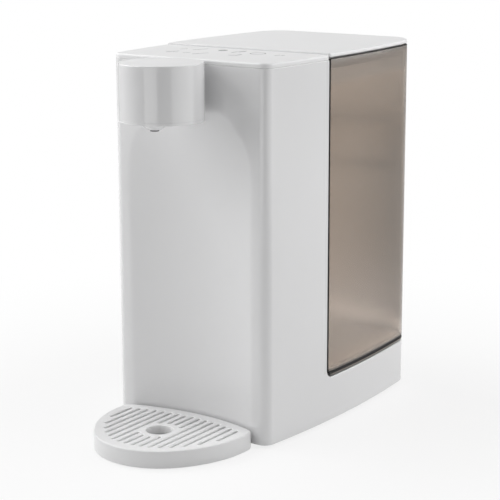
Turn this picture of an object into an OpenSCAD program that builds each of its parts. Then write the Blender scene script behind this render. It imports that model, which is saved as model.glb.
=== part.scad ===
// Instant hot water dispenser: a column with a nozzle and a drip tray in front, a lift-off water tank behind.
// Millimetres, +Z up, the front faces -Y. The origin is on the table, at the middle of the overall footprint.

/* [Body] */
// Widest part of the body, side to side
body_w = 149; // [139:1:165]
// Body depth, from the front face to the rear face
body_d = 214.5; // [200:0.5:240]
// Height from the table to the top of the tank lid
body_h = 282; // [270:1:310]
// How far each side bows out between its two ends
side_bow = 7; // [0:0.5:9]
// Radius of the two front corners in plan
front_r = 8; // [6:0.5:10]
// Radius of the two rear corners in plan
rear_r = 23; // [15:1:26]
// Wall thickness of the housing
shell_t = 2.5; // [2:0.25:3]
// Depth of the front column, from the front face to the tank
column_d = 73.2; // [72:0.2:84]
// Height of the base deck above the table
base_h = 36; // [36:0.5:44]
// Height of the rubber feet below the housing edge
foot_h = 2; // [1.5:0.5:4]
// Height of the top cover of the column
cover_h = 3.8; // [3.4:0.2:6]
// Radius of the inner corner between the column and the base deck
bay_r = 5; // [2:0.5:8]
// How far the tank lid stands above the top cover
lid_step = 1.2; // [0.6:0.2:2]

/* [Front] */
// Width of the hollow in the front face
recess_w = 109; // [90:1:112]
// Depth of the hollow in the front face
recess_t = 9; // [6:0.5:10]
// Height at which the arch of the hollow begins
arch_z = 197; // [180:1:200]
// Diameter of the nozzle head
nozzle_d = 60.4; // [56:0.2:64]
// Height of the nozzle head
nozzle_h = 41.2; // [40:0.2:46]
// Distance of the spout ahead of the front face
spout_reach = 39; // [34:1:42]

/* [Tray] */
// Width of the drip tray
tray_w = 117.4; // [112:0.2:124]
// Distance from the front face to the front of the tray
tray_reach = 85; // [80:1:96]
// Height of the drip tray
tray_h = 13.4; // [11:0.2:20]
// Radius of the long side curves of the tray
tray_side_r = 80.4; // [76:0.2:90]
// Width of one grille slot
slot_w = 3; // [2:0.2:4]
// Spacing of the grille slots
slot_pitch = 6.5; // [6:0.1:7]
// Diameter of the round drain hole under the spout
drain_d = 20; // [16:1:22]

/* [Tank] */
// Wall thickness of the water tank
tank_t = 2.5; // [2:0.25:3.5]
// Width of the grip pocket in the rear wall of the tank
grip_w = 86; // [70:1:88]
// Height of the grip pocket
grip_h = 37; // [28:1:45]
// Depth of the grip pocket
grip_t = 20; // [14:1:26]
// Height of the lower edge of the grip pocket above the table
grip_z = 179; // [150:1:190]
// Distance of the tank valve ahead of the rear face
valve_back = 104.5; // [98.5:0.5:108.5]

/* [Works] */
// Diameter of the heater
heater_d = 46; // [40:1:46]
// Length of the heater
heater_l = 160; // [140:1:164]
// Outer diameter of the pump head
pump_d = 26; // [22:1:26]
// Length of the pump motor
motor_l = 34; // [28:1:40]
// Outer diameter of the water hoses
hose_d = 9; // [8:0.5:10]
// Bore of the water hoses
hose_bore = 6; // [5:0.5:6.5]

/* [Fits] */
// Open seam between outer parts that come apart
seam = 1.1; // [0.6:0.1:1.2]
// Gap between parts that are set against each other
fit = 0.3; // [0.2:0.05:0.4]
// Gap between the drip tray and its cap
slide = 0.5; // [0.4:0.05:0.8]
// Radial gap of a shaft that turns
run = 0.05; // [0.03:0.01:0.08]

/* [Hidden] */
// A length that passes any part of the body, and one that passes any wall
far = 400;
over = 1;
// Lap of shapes that are joined, gap of set pieces and gap under screw heads
lap = 0.2;
near = 0.1;
hair = 0.05;
// Front face, rear face and column edge
yf = (tray_reach - body_d) / 2;
yr = yf + body_d;
col_y = yf + column_d;
// Heights of the top surfaces
top_z = body_h - lid_step;
cover_z = top_z - cover_h;
deck_t = 3;
deck_z = base_h - deck_t;
// Place of the widest part of the sides
bow_y = yf + 0.4745 * body_d;
// Base plate
plate_t = 2.5;
plate_in = 0.6;
plate_z = foot_h + plate_in;
plate_top = plate_z + plate_t;
vent_w = 3;
vent_pitch = 8;
vent_l = 30;
vent_in = 26;
// Hollow of the front face, on an upright axis
recess_r = (pow(recess_w / 2, 2) + pow(recess_t, 2)) / (2 * recess_t);
recess_y = yf + recess_t - recess_r;
// Nozzle head and its neck
nozzle_r = nozzle_d / 2;
nozzle_y = yf - nozzle_r - fit;
nozzle_z = top_z - nozzle_h;
nozzle_t = 2.5;
nozzle_rim = 2.2;
nozzle_lip = 2;
neck_w = 26;
neck_t = 2;
neck_up = 6;
neck_down = 8.4;
neck_z = nozzle_z + neck_up;
neck_top = top_z - neck_down;
outlet_up = 2.5;
outlet_z = (neck_z + neck_top) / 2 + outlet_up;
neck_y = yf + shell_t + recess_sag(0, neck_z - over) + fit;
clamp_t = 2.5;
clamp_side = 7;
spout_y = yf - spout_reach;
spout_h = 6.4;
spout_r = 10;
spout_tip_r = 4.4;
spout_neck_r = 5;
// Nipples that carry the hoses
nipple_r = hose_bore / 2 - 0.1;
nipple_bore = 2;
nipple_l = 10;
bend_r = 12;
clip_w = 4;
clip_t = 0.8;
clip_ear = 3;
hose_end = 1.2;
clip_end = 2.4;
// Panel behind the column
panel_t = 3;
panel_y = col_y - 2 * panel_t;
// Heater
heater_r = heater_d / 2;
band_t = 2.5;
band_h = 12;
heater_side = 41;
heater_back = 1;
heater_up = 13;
heater_bore = 6;
tab_w = 6;
tab_l = 7;
tab_t = 1.2;
cutout_r = 8;
cutout_t = 5;
sensor_r = 2.5;
sensor_l = 9;
heater_x = body_w / 2 - heater_side;
heater_y = panel_y - heater_r - band_t - heater_back;
heater_z = base_h + heater_up;
heater_top = heater_z + heater_l;
cap_h = 6;
// Boards
board_t = 1.6;
board_w = 56;
board_h = 130;
board_side = 4;
board_up = 25;
board_x = -board_w - board_side;
board_z = base_h + board_up;
parts_h = 22;
hole_in = 5;
standoff = 6;
standoff_r = 3.5;
board_y = panel_y - standoff - board_t;
touch_down = 5.6;
touch_in = 14;
touch_back = 3;
touch_z = cover_z - touch_down;
touch_w = 100;
touch_y = yf + touch_in;
touch_d = panel_y - touch_back - touch_y;
symbol_pitch = 17;
symbol_in = 18;
symbol_y = touch_y + symbol_in;
led_w = 5;
guide_w = 10;
guide_t = 2.4;
// Flat cable between the boards
cable_w = board_w / 4;
cable_t = 1;
cable_in = 3.5;
cable_x = board_x + 0.52 * board_w;
cable_y = board_y - cable_in;
plug_l = 6;
boot_h = 3;
cover_t = 2.2;
tongue_h = 2.4;
tongue_t = 1.5;
// Water path in the base
dock_y = yr - valve_back;
dock_r = 19;
socket_r = 15;
dock_up = 12;
dock_t = 3;
dock_rim = 6;
water_up = 14.2;
inlet_l = 20;
dock_floor = plate_top + dock_up;
water_z = plate_top + water_up;
pump_r = pump_d / 2;
pump_t = 3;
pump_wall = 2.5;
pump_back = 4;
impeller_t = 2.6;
blade_l = 5;
pin_r = 2.5;
seal_up = 5;
pump_y = dock_y + dock_r + inlet_l;
pump_l = 16;
shaft_r = 1.5;
motor_r = pump_r - 1.5;
motor_y = pump_y + pump_l + fit;
motor_tabs = 6;
shaft_in = 8;
saddle_t = 3;
saddle_in = 4;
// Tank and lid
tank_y = col_y + seam;
tank_up = 1.4;
floor_t = 3;
tank_z = base_h + tank_up;
tank_floor = tank_z + floor_t;
tank_over = 0.9;
tank_top = cover_z + tank_over;
lid_z = tank_top + seam;
groove_d = 1;
groove_up = 1.2;
groove_h = 1.6;
lid_t = 2.2;
plug_gap = 1.5;
plug_t = 2;
plug_in = tank_t + plug_gap;
plug_h = 9;
gasket_h = 3;
gasket_up = 3;
pad_w = 16;
pad_d = 6;
pad_x = 46;
pad_back = 34;
// Tank valve, on the axis of the dock
neck_r = 10;
stub_r = 12.5;
flange_r = 17;
washer_t = 0.8;
flange_t = 3;
stub_l = 14.4;
seat_up = 5.2;
seat_r = 4.5;
bore_r = 7.5;
neck_h = 5;
flange_z = tank_z - washer_t - flange_t;
stub_z = tank_z - stub_l;
seat_z = stub_z + seat_up;
valve_travel = 3.8;
disc_gap = 1.4;
disc_z = seat_z + valve_travel + disc_gap;
disc_h = 2.4;
disc_r = 6.6;
stem_r = 2;
stem_l = 8;
stem_up = 3;
strainer_z = tank_floor + near;
strainer_h = 16;
strainer_t = 2;
slit_w = 5;
strainer_r = neck_r + 2 * strainer_t;
spring_z = disc_z + disc_h + lap;
spring_r = 4.6;
wire_r = 0.55;
seal_t = 1.4;
seal_z = stub_z + seal_up;
// Fasteners
screw_r = 1.5;
head_r = 2.8;
head_h = 2.2;
post_r = 4;
post_l = 20;
post_rib = 3;
base_screw_l = 14;
panel_screw_l = 9;
band_screw_l = 4.8;
board_screw_l = 7;
touch_screw_l = 6;
rib_w = 6.4;
rib_d = 8;
// Tray
tray_gap = 2;
tray_corner = 6.5;
tray_a = tray_side_r - tray_w / 2;
tray_wide = 14.1;
tray_lift = 0.6;
pan_t = 1.6;
tray_y = yf - tray_wide;
tray_front = yf - tray_reach;
tray_nose_r = (pow(tray_side_r, 2) - pow(tray_a, 2) - pow(tray_y - tray_front, 2))
  / (2 * (tray_side_r - (tray_y - tray_front)));
tray_ang = atan2(tray_front + tray_nose_r - tray_y, tray_a);
tray_t = 2;
rim_w = 8.5;
rim_slim = 2.4;
stop_x = 26;
stop_w = 10;
stop_z = 2.4;
stop_h = 5.6;
ring_w = 5;
// Cord bush and feet
gland_r = 7;
gland_bore = 3.6;
gland_l = 12;
foot_w = 12;
foot_l = 24;
foot_in = 8;
foot_end = 40;

// Half width of the body at a depth y
function side_x(y) = body_w / 2 - side_bow * pow((y - bow_y) / (body_d / 2), 2);
// Lean of the side surface at a depth y, in degrees
function side_lean(y) = atan(2 * side_bow * (y - bow_y) / pow(body_d / 2, 2));
// Depth of the hollow of the front face at a place on it
function recess_sag(x, z) = max(0, sqrt(max(0, pow(recess_r, 2) - x * x - pow(max(0, z - arch_z), 2)))
  - recess_r + recess_t);
// Points of an arc from one angle to another
function arc_pts(cx, cy, r, a0, a1, n) =
  [for (k = [0:n]) let(t = a0 + (a1 - a0) * k / n) [cx + r * cos(t), cy + r * sin(t)]];
// Centres of the corner arcs on the right-hand side
function front_c() = [side_x(yf + front_r) - front_r / cos(side_lean(yf + front_r)), yf + front_r];
function rear_c() = [side_x(yr - rear_r) - rear_r / cos(side_lean(yr - rear_r)), yr - rear_r];
// Right half of the plan outline, set in by i
function half_plan(i) = let(
    f = front_c(), r = rear_c(), af = side_lean(f[1]), ar = side_lean(r[1]),
    y0 = f[1] + front_r * sin(af), y1 = r[1] + rear_r * sin(ar))
  concat(
    arc_pts(f[0], f[1], max(0.5, front_r - i), -90, af, 6),
    [for (k = [1:11]) let(y = y0 + (y1 - y0) * k / 12) [side_x(y) - i, y]],
    arc_pts(r[0], r[1], max(0.5, rear_r - i), ar, 90, 9));
// A half outline joined to its mirror image
function both_halves(h) = concat(h, [for (k = [len(h) - 1:-1:0]) [-h[k][0], h[k][1]]]);
// Outline of a slot with round ends along Y
function slot_pts(x, y0, y1, w) = concat(
  arc_pts(x, y1 - w / 2, w / 2, 0, 180, 8),
  arc_pts(x, y0 + w / 2, w / 2, 180, 360, 8));
// Right half of the tray outline, set in by i
function half_tray(i) = let(
    r = tray_side_r - i, c = max(near, tray_corner - i), edge = yf - tray_gap - i,
    turn = asin((edge - c - tray_y) / (r - c)), x = (r - c) * cos(turn) - tray_a,
    back = recess_r - tray_gap - i, meet = min(x - near, sqrt(back * back - pow(edge - recess_y, 2))))
  concat(
    arc_pts(0, tray_front + tray_nose_r, tray_nose_r - i, -90, tray_ang, 12),
    [for (k = [1:13]) let(t = tray_ang + (turn - tray_ang) * k / 14)
      [r * cos(t) - tray_a, tray_y + r * sin(t)]],
    arc_pts(x, edge - c, c, turn, 90, 5),
    arc_pts(0, recess_y, back, acos(meet / back), 89, 12));
// Width of the rim of the grille in front of the slot at x
function rim_at(x) = rim_w - rim_slim * pow(2 * x / tray_w, 2);
// Front and rear ends of the grille slot at x
function slot_front(x) = abs(x) < (tray_nose_r - rim_at(x)) * cos(tray_ang)
  ? tray_front + tray_nose_r - sqrt(pow(tray_nose_r - rim_at(x), 2) - x * x)
  : tray_y - sqrt(pow(tray_side_r - rim_at(x), 2) - pow(abs(x) + tray_a, 2));
function slot_rear(x) = recess_y + sqrt(pow(recess_r - tray_gap - rim_w, 2) - x * x);

// Body outline set in by i, between two depths
module plan(i, y0, y1) {
  intersection() {
    polygon(both_halves(half_plan(i)));
    translate([-far, y0]) square([2 * far, y1 - y0]);
  }
}

// Body outline as an upright prism
module slab(i, y0, y1, z0, z1) {
  translate([0, 0, z0]) linear_extrude(z1 - z0) plan(i, y0, y1);
}

// Space over the deck and behind the column, with a round inner corner
module bay(y, z, r) {
  translate([-far, 0, 0]) rotate([90, 0, 90]) linear_extrude(2 * far)
    polygon(concat(arc_pts(y + r, z + r, r, 180, 270, 6), [[far, z], [far, far], [y, far]]));
}

// Box between two corners
module block(a, b) {
  translate(a) cube(b - a);
}

// Round bar or bore along Z
module rod(x, y, z0, z1, r) {
  translate([x, y, z0]) cylinder(h = z1 - z0, r = r, $fn = 48);
}

// Round bar or bore along Y
module rod_y(x, y0, y1, z, r) {
  translate([x, y0, z]) rotate([-90, 0, 0]) cylinder(h = y1 - y0, r = r, $fn = 48);
}

// Round bar or bore along X
module rod_x(x0, x1, y, z, r) {
  translate([x0, y, z]) rotate([0, 90, 0]) cylinder(h = x1 - x0, r = r, $fn = 48);
}

// Ring along Z
module ring(x, y, z0, z1, r0, r1) {
  translate([x, y, z0]) linear_extrude(z1 - z0) difference() {
    circle(r = r1, $fn = 48);
    circle(r = r0, $fn = 48);
  }
}

// Hollow of the front face: an upright drum with a domed top
module scoop(r) {
  translate([0, recess_y, -over]) cylinder(h = arch_z + over, r = r, $fn = 180);
  translate([0, recess_y, arch_z]) rotate_extrude($fn = 180) intersection() {
    circle(r = r, $fn = 180);
    square([r, r]);
  }
}

// Straight piece of hose along Z
module hose(l) {
  linear_extrude(l) difference() {
    circle(d = hose_d, $fn = 40);
    circle(d = hose_bore, $fn = 40);
  }
}

// Quarter bend of hose from the X axis to the Y axis
module bend() {
  rotate_extrude(angle = 90, $fn = 64) translate([bend_r, 0]) difference() {
    circle(d = hose_d, $fn = 40);
    circle(d = hose_bore, $fn = 40);
  }
}

// Clip round a hose, along Z
module clip() {
  linear_extrude(clip_w) difference() {
    circle(r = hose_d / 2 + near + clip_t, $fn = 40);
    circle(r = hose_d / 2 + near, $fn = 40);
  }
  translate([hose_d / 2 + clip_t / 2 + near, -clip_w / 2, clip_w * 0.15])
    cube([clip_ear, clip_w, clip_w * 0.7]);
}

// Pan-head screw along Z, its head below z = 0
module screw(l) {
  difference() {
    union() {
      translate([0, 0, -head_h]) cylinder(h = head_h, r = head_r, $fn = 32);
      cylinder(h = l, r = screw_r, $fn = 32);
    }
    for (a = [0, 90]) rotate([0, 0, a]) translate([-head_r * 0.64, -head_r * 0.14, -head_h - over])
      cube([head_r * 1.28, head_r * 0.28, over + head_h * 0.45]);
  }
}

// Places of the posts that hold the base plate
function base_posts() = let(
    y0 = yf + 4 * post_r, y1 = col_y + 4.5 * post_r, y2 = yr - 6.5 * post_r, side = shell_t + 5 * post_r)
  [for (s = [-1, 1]) each [
    [s * (side_x(y0) - shell_t - 1.4 * post_r), y0],
    [s * (side_x(y1) - side), y1],
    [s * (side_x(y2) - side), y2]]];

// Places of the feet
function foot_places() = let(y0 = yf + foot_end, y1 = yr - foot_end - 0.5)
  [for (s = [-1, 1]) for (y = [y0, y1]) [s * (side_x(y) - shell_t - fit - foot_in), y]];

// Places of the screws through the column panel: across and up
function panel_holes() = let(x = side_x(panel_y) - shell_t - rib_w * 0.53)
  [for (z = [base_h + post_l, cover_z - 1.5 * post_l]) for (s = [-1, 1]) [s * x, z]];

// Heights of the two heater brackets
function bracket_zs() = [heater_z + 0.14 * heater_l, heater_top - 0.19 * heater_l];
// Distance of the band screws from the axis of the heater
function band_x() = heater_r + 2 * band_t;

// Corners of the main board where it is screwed down
function board_holes() = [
  for (z = [board_z + hole_in, board_z + board_h - hole_in])
    for (x = [board_x + hole_in, board_x + board_w - hole_in]) [x, z]];

// Corners of the touch board where it is screwed up
function touch_holes() = [
  for (y = [touch_y + hole_in, touch_y + touch_d - hole_in])
    for (s = [-1, 1]) [s * (touch_w / 2 - hole_in), y]];

// L-shaped shell: the column in front and the low base under the tank
module housing() {
  rib_x = side_x(panel_y) - shell_t - rib_w;
  color([0.83, 0.84, 0.86]) difference() {
    union() {
      difference() {
        slab(0, yf, yr, foot_h, cover_z);
        bay(col_y, base_h, bay_r);
        difference() {
          slab(shell_t, yf + shell_t, col_y, 0, cover_z + over);
          scoop(recess_r + shell_t);
        }
        slab(shell_t, col_y - over, yr - shell_t, 0, deck_z);
      }
      for (p = base_posts()) if (p[1] > col_y) rod(p[0], p[1], plate_top + 2 * near, deck_z + over, post_r);
      for (p = base_posts()) if (p[1] < col_y) {
        edge = sign(p[0]) * (side_x(p[1]) - over);
        rod(p[0], p[1], plate_top + 2 * near, plate_top + post_l, post_r);
        block([min(p[0], edge), p[1] - post_rib / 2, plate_top + 2 * near],
          [max(p[0], edge), p[1] + post_rib / 2, plate_top + post_l]);
      }
      for (s = [0, 1]) mirror([s, 0, 0])
        block([rib_x, panel_y - rib_d, base_h + post_r],
          [side_x(panel_y) - over, panel_y - 2 * near, cover_z - 3 * post_r]);
    }
    scoop(recess_r);
    block([-neck_w / 2 - fit, yf - over, neck_z - fit],
      [neck_w / 2 + fit, yf + recess_t + shell_t, neck_top + fit]);
    rod(0, dock_y, deck_z - over, base_h + over, dock_r + fit);
    rod_y(body_w / 5, yr - shell_t - over, yr + over, water_z, gland_r + 2 * near);
    for (p = base_posts()) rod(p[0], p[1], 0, plate_top + base_screw_l, screw_r + hair);
    for (p = panel_holes()) rod_y(p[0], panel_y - rib_d + over, panel_y, p[1], screw_r + hair);
  }
}

// Cap of the column, flush with the nozzle head
module top_cover() {
  rear = col_y - 2 * near;
  edge = shell_t + fit;
  color([0.89, 0.90, 0.92]) {
    difference() {
      slab(0, yf, rear, cover_z, top_z);
      slab(shell_t, yf + shell_t, rear - shell_t, cover_z - over, top_z - cover_t);
    }
    difference() {
      slab(edge, yf + edge, panel_y - 2 * panel_t, cover_z - tongue_h, top_z - cover_t + lap);
      slab(edge + tongue_t, yf + edge + tongue_t, panel_y, cover_z - tongue_h - over, top_z - cover_t + near);
    }
    for (p = touch_holes()) difference() {
      rod(p[0], p[1], touch_z + board_t, top_z - cover_t + lap, standoff_r);
      rod(p[0], p[1], touch_z, touch_z + board_t + touch_screw_l, screw_r + hair);
    }
  }
}

// Panel that closes the column towards the tank and carries the works
module column_back() {
  color([0.72, 0.73, 0.75]) difference() {
    union() {
      slab(shell_t + fit, panel_y, panel_y + panel_t, deck_z, cover_z - fit);
      for (p = board_holes()) rod_y(p[0], panel_y - standoff, panel_y + lap, p[1], standoff_r);
    }
    for (p = panel_holes()) rod_y(p[0], panel_y - over, col_y, p[1], screw_r + 2 * near);
    for (p = board_holes()) rod_y(p[0], panel_y - standoff - over, panel_y + over, p[1], screw_r + hair);
    for (z = bracket_zs()) for (s = [-1, 1])
      rod_y(heater_x + s * band_x(), panel_y - over, col_y, z, screw_r + hair);
  }
}

// Plate that closes the underside and carries the pump and the feet
module base_plate() {
  color([0.70, 0.71, 0.73]) difference() {
    slab(shell_t + fit, yf + shell_t + fit, yr - shell_t - fit, plate_z, plate_top);
    scoop(recess_r + shell_t + fit);
    for (p = base_posts()) rod(p[0], p[1], 0, plate_top + over, screw_r + 2 * near);
    for (k = [-3:3]) translate([0, 0, plate_z - over]) linear_extrude(plate_t + 2 * over)
      polygon(slot_pts(k * vent_pitch, yf + vent_in, yf + vent_in + vent_l, vent_w));
  }
}

// Round nozzle head with the neck that goes into the column
module nozzle_shell() {
  color([0.86, 0.87, 0.89]) difference() {
    union() {
      rod(0, nozzle_y, nozzle_z + nozzle_rim, top_z, nozzle_r);
      block([-neck_w / 2, nozzle_y, neck_z], [neck_w / 2, neck_y, neck_top]);
    }
    rod(0, nozzle_y, nozzle_z, top_z - nozzle_t, nozzle_r - nozzle_t);
    block([-neck_w / 2 + neck_t, nozzle_y, neck_z + neck_t],
      [neck_w / 2 - neck_t, neck_y + over, neck_top - neck_t]);
  }
}

// Frame inside the column that holds the neck of the nozzle head
module nozzle_clamp() {
  y = neck_y + near;
  color([0.62, 0.63, 0.65]) difference() {
    block([-neck_w / 2 - clamp_side, y, neck_z - over],
      [neck_w / 2 + clamp_side, y + clamp_t, neck_top + neck_t]);
    block([-neck_w / 2 + neck_t, y - over, neck_z + neck_t],
      [neck_w / 2 - neck_t, y + clamp_t + over, neck_top - neck_t]);
  }
}

// Bottom cap of the nozzle head
module nozzle_base() {
  color([0.84, 0.85, 0.87]) difference() {
    union() {
      rod(0, nozzle_y, nozzle_z, nozzle_z + nozzle_rim - 2 * near, nozzle_r);
      rod(0, nozzle_y, nozzle_z, nozzle_z + nozzle_rim + nozzle_lip, nozzle_r - nozzle_t - fit);
    }
    rod(0, nozzle_y, nozzle_z + nozzle_rim, top_z, nozzle_r - nozzle_t - fit - nozzle_lip);
    rod(0, spout_y, nozzle_z - over, top_z, spout_neck_r + near);
  }
}

// Conical spout with the outlet bore
module spout_tip() {
  color([0.30, 0.31, 0.33]) translate([0, spout_y, nozzle_z]) rotate_extrude($fn = 64) polygon([
    [nipple_bore, nipple_l], [nipple_bore, -spout_h / 2], [spout_tip_r * 0.73, -spout_h],
    [spout_tip_r, -spout_h], [spout_r, -near], [spout_neck_r, -near], [spout_neck_r, nozzle_rim + over],
    [nipple_r, nozzle_rim + over], [nipple_r, nipple_l]]);
}

// Heater block with its water bore and terminals
module heater() {
  color([0.74, 0.74, 0.76]) difference() {
    union() {
      rod(heater_x, heater_y, heater_z, heater_top, heater_r);
      for (z = [heater_z + 0.05 * heater_l, heater_top - 0.1 * heater_l])
        block([heater_x - tab_w / 2, heater_y - heater_r - tab_l, z],
          [heater_x + tab_w / 2, heater_y - heater_r + 2 * over, z + tab_t]);
    }
    rod(heater_x, heater_y, heater_z - over, heater_top + over, heater_bore);
  }
}

// Two end caps with hose nipples
module heater_caps() {
  color([0.24, 0.25, 0.27]) {
    for (e = [[heater_z, -1], [heater_top, 1]]) difference() {
      union() {
        rod(heater_x, heater_y, min(e[0], e[0] + e[1] * cap_h),
          max(e[0], e[0] + e[1] * cap_h), heater_r + over);
        rod(heater_x, heater_y, min(e[0], e[0] + e[1] * (cap_h + nipple_l)),
          max(e[0], e[0] + e[1] * (cap_h + nipple_l)), nipple_r);
      }
      rod(heater_x, heater_y, e[0] - 2 * nipple_l, e[0] + 2 * nipple_l, nipple_bore);
    }
  }
}

// Two bands that hold the heater to the column panel
module heater_brackets() {
  color([0.66, 0.67, 0.69]) for (z = bracket_zs()) difference() {
    union() {
      rod(heater_x, heater_y, z - band_h / 2, z + band_h / 2, heater_r + band_t);
      block([heater_x - band_x() - head_r - near, panel_y - band_t + fit, z - band_h / 2],
        [heater_x + band_x() + head_r + near, panel_y - near, z + band_h / 2]);
    }
    rod(heater_x, heater_y, z - band_h, z + band_h, heater_r + near);
    for (s = [-1, 1]) rod_y(heater_x + s * band_x(), panel_y - 4 * band_t, panel_y, z, screw_r + 2 * near);
  }
}

// Safety cut-out on the side of the heater
module thermal_cutout() {
  x = heater_x - heater_r - 2 * near;
  z = heater_z + heater_l / 2;
  color([0.16, 0.16, 0.18]) {
    rod_x(x - cutout_t, x, heater_y, z, cutout_r);
    for (s = [-1, 1]) block([x - 1.8 * cutout_t, heater_y + s * cutout_r / 2 - tab_t / 3, z - tab_w / 2],
      [x - cutout_t + lap, heater_y + s * cutout_r / 2 + tab_t / 3, z + tab_w / 2]);
  }
}

// Temperature sensor on the upper end cap
module temp_sensor() {
  x = heater_x + 0.6 * heater_r;
  z = heater_top + cap_h + near;
  color([0.78, 0.68, 0.40]) {
    rod(x, heater_y, z, z + sensor_l, sensor_r);
    translate([x, heater_y, z]) cylinder(h = sensor_l / 3, r = 1.8 * sensor_r, $fn = 6);
  }
}

// Block on the main board, placed by shares of its width and height
module on_board(u0, u1, v0, v1, h) {
  block([board_x + u0 * board_w, board_y - h * parts_h, board_z + v0 * board_h],
    [board_x + u1 * board_w, board_y + lap, board_z + v1 * board_h]);
}

// Power board with its larger components
module main_board() {
  fin_gap = 0.18 * parts_h;
  color([0.16, 0.36, 0.24]) difference() {
    union() {
      block([board_x, board_y, board_z], [board_x + board_w, board_y + board_t, board_z + board_h]);
      on_board(0.21, 0.55, 0.11, 0.22, 0.68);
      on_board(0.61, 0.82, 0.11, 0.26, 0.68);
      on_board(0.14, 0.54, 0.48, 0.63, 0.91);
      on_board(0.68, 0.73, 0.43, 0.72, 1);
      for (k = [1:5]) block([board_x + 0.71 * board_w, board_y - k * fin_gap, board_z + 0.43 * board_h],
        [board_x + 0.89 * board_w, board_y - (k - 0.35) * fin_gap, board_z + 0.72 * board_h]);
      for (u = [0.21, 0.48, 0.75]) rod_y(board_x + u * board_w, board_y - 0.64 * parts_h, board_y + lap,
        board_z + 0.35 * board_h, 0.09 * board_w);
      on_board(0.25, 0.57, 0.75, 0.86, 0.09);
      on_board(0.36, 0.68, 0.95, 1, 0.29);
    }
    for (p = board_holes()) rod_y(p[0], board_y - over, board_y + 2 * board_t, p[1], screw_r + 2 * near);
  }
}

// Sensor board under the top cover
module touch_board() {
  color([0.14, 0.30, 0.22]) difference() {
    union() {
      block([-touch_w / 2, touch_y, touch_z], [touch_w / 2, touch_y + touch_d, touch_z + board_t]);
      block([cable_x - 0.79 * cable_w, cable_y - 0.29 * cable_w, touch_z - plug_l],
        [cable_x + 0.79 * cable_w, cable_y + 0.29 * cable_w, touch_z + lap]);
      for (k = [-2:2]) translate([k * symbol_pitch, symbol_y, touch_z])
        block([-led_w / 2, -led_w / 2, -board_t], [led_w / 2, led_w / 2, lap]);
    }
    for (p = touch_holes()) rod(p[0], p[1], touch_z - over, touch_z + 2 * board_t, screw_r + 2 * near);
  }
}

// Clear bar that carries the light of the sensor board to the symbols
module light_guide() {
  z = touch_z + board_t + near;
  color([0.88, 0.90, 0.92]) {
    block([-2 * symbol_pitch - 0.8 * guide_w, symbol_y - 0.6 * guide_w, z],
      [2 * symbol_pitch + 0.8 * guide_w, symbol_y + 0.6 * guide_w, z + guide_t]);
    for (k = [-2:2]) translate([k * symbol_pitch, symbol_y, 0])
      block([-guide_w / 2, -0.4 * guide_w, z + guide_t - lap],
        [guide_w / 2, 0.4 * guide_w, top_z - cover_t - 2 * near]);
  }
}

// Flat cable from the main board up to the sensor board
module ribbon_cable() {
  z0 = board_z + board_h + near;
  z1 = touch_z - plug_l - near;
  color([0.80, 0.80, 0.82]) {
    block([cable_x - cable_w / 2, cable_y - cable_t / 2, z0],
      [cable_x + cable_w / 2, cable_y + cable_t / 2, z1]);
    for (z = [z0, z1 - boot_h])
      block([cable_x - 0.57 * cable_w, cable_y - 2 * cable_t, z],
        [cable_x + 0.57 * cable_w, cable_y + 2 * cable_t, z + boot_h]);
  }
}

// Motor of the pump, along Y
module pump_motor() {
  color([0.60, 0.61, 0.63]) difference() {
    union() {
      rod_y(0, motor_y, motor_y + motor_l, water_z, motor_r);
      rod_y(0, motor_y + motor_l - lap, motor_y + motor_l + motor_tabs / 2, water_z, 0.35 * motor_r);
      for (s = [-1, 1]) translate([s * 0.43 * motor_r, motor_y + motor_l, water_z + 0.4 * motor_r])
        block([-tab_w / 4, -lap, 0], [tab_w / 4, motor_tabs, tab_t]);
    }
    rod_y(0, motor_y - over, motor_y + shaft_in + over, water_z, shaft_r + run);
  }
}

// Pump head with the impeller chamber, the inlet and the outlet
module pump_head() {
  color([0.20, 0.21, 0.23]) difference() {
    union() {
      rod_y(0, pump_y, pump_y + pump_l, water_z, pump_r);
      rod_y(0, pump_y - nipple_l, pump_y + over, water_z, nipple_r);
      rod_x(0, pump_r + nipple_l, pump_y + pump_l / 2, water_z, nipple_r);
    }
    rod_y(0, pump_y + pump_t, pump_y + pump_l - pump_back, water_z, pump_r - pump_wall);
    rod_y(0, pump_y - nipple_l - over, pump_y + pump_t + over, water_z, nipple_bore);
    rod_x(pump_r - pump_wall - over, pump_r + nipple_l + over, pump_y + pump_l / 2, water_z, nipple_bore);
    rod_y(0, pump_y + pump_l - pump_back - over, pump_y + pump_l + over, water_z, shaft_r + run);
  }
}

// Impeller and shaft of the pump
module pump_rotor() {
  y = pump_y + pump_l - pump_back - 2 * fit;
  color([0.85, 0.86, 0.88]) {
    rod_y(0, pump_y + pump_t + 2 * fit, motor_y + shaft_in, water_z, shaft_r);
    rod_y(0, y - impeller_t, y, water_z, pump_r - pump_wall - 2 * fit);
    for (k = [0:5]) translate([0, y - impeller_t - blade_l + lap, water_z]) rotate([0, k * 60, 0])
      translate([over, 0, -over / 2]) cube([pump_r - pump_wall - over - 3 * fit, blade_l, over]);
  }
}

// Rubber saddle under the pump motor
module pump_cradle() {
  color([0.12, 0.12, 0.13]) difference() {
    block([-motor_r - saddle_t, motor_y + saddle_in, plate_top + near],
      [motor_r + saddle_t, motor_y + motor_l - saddle_in, water_z - 2 * over]);
    rod_y(0, motor_y, motor_y + motor_l, water_z, motor_r + near);
    block([-motor_r - 2 * saddle_t, motor_y + 3 * saddle_in, plate_top + saddle_t],
      [motor_r + 2 * saddle_t, motor_y + motor_l - 3 * saddle_in, water_z]);
  }
}

// Hose from the dock to the pump
module inlet_hose() {
  color([0.90, 0.90, 0.88]) translate([0, dock_y + dock_r + hose_end, water_z]) rotate([-90, 0, 0])
    hose(pump_y - dock_y - dock_r - 2 * hose_end);
}

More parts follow.
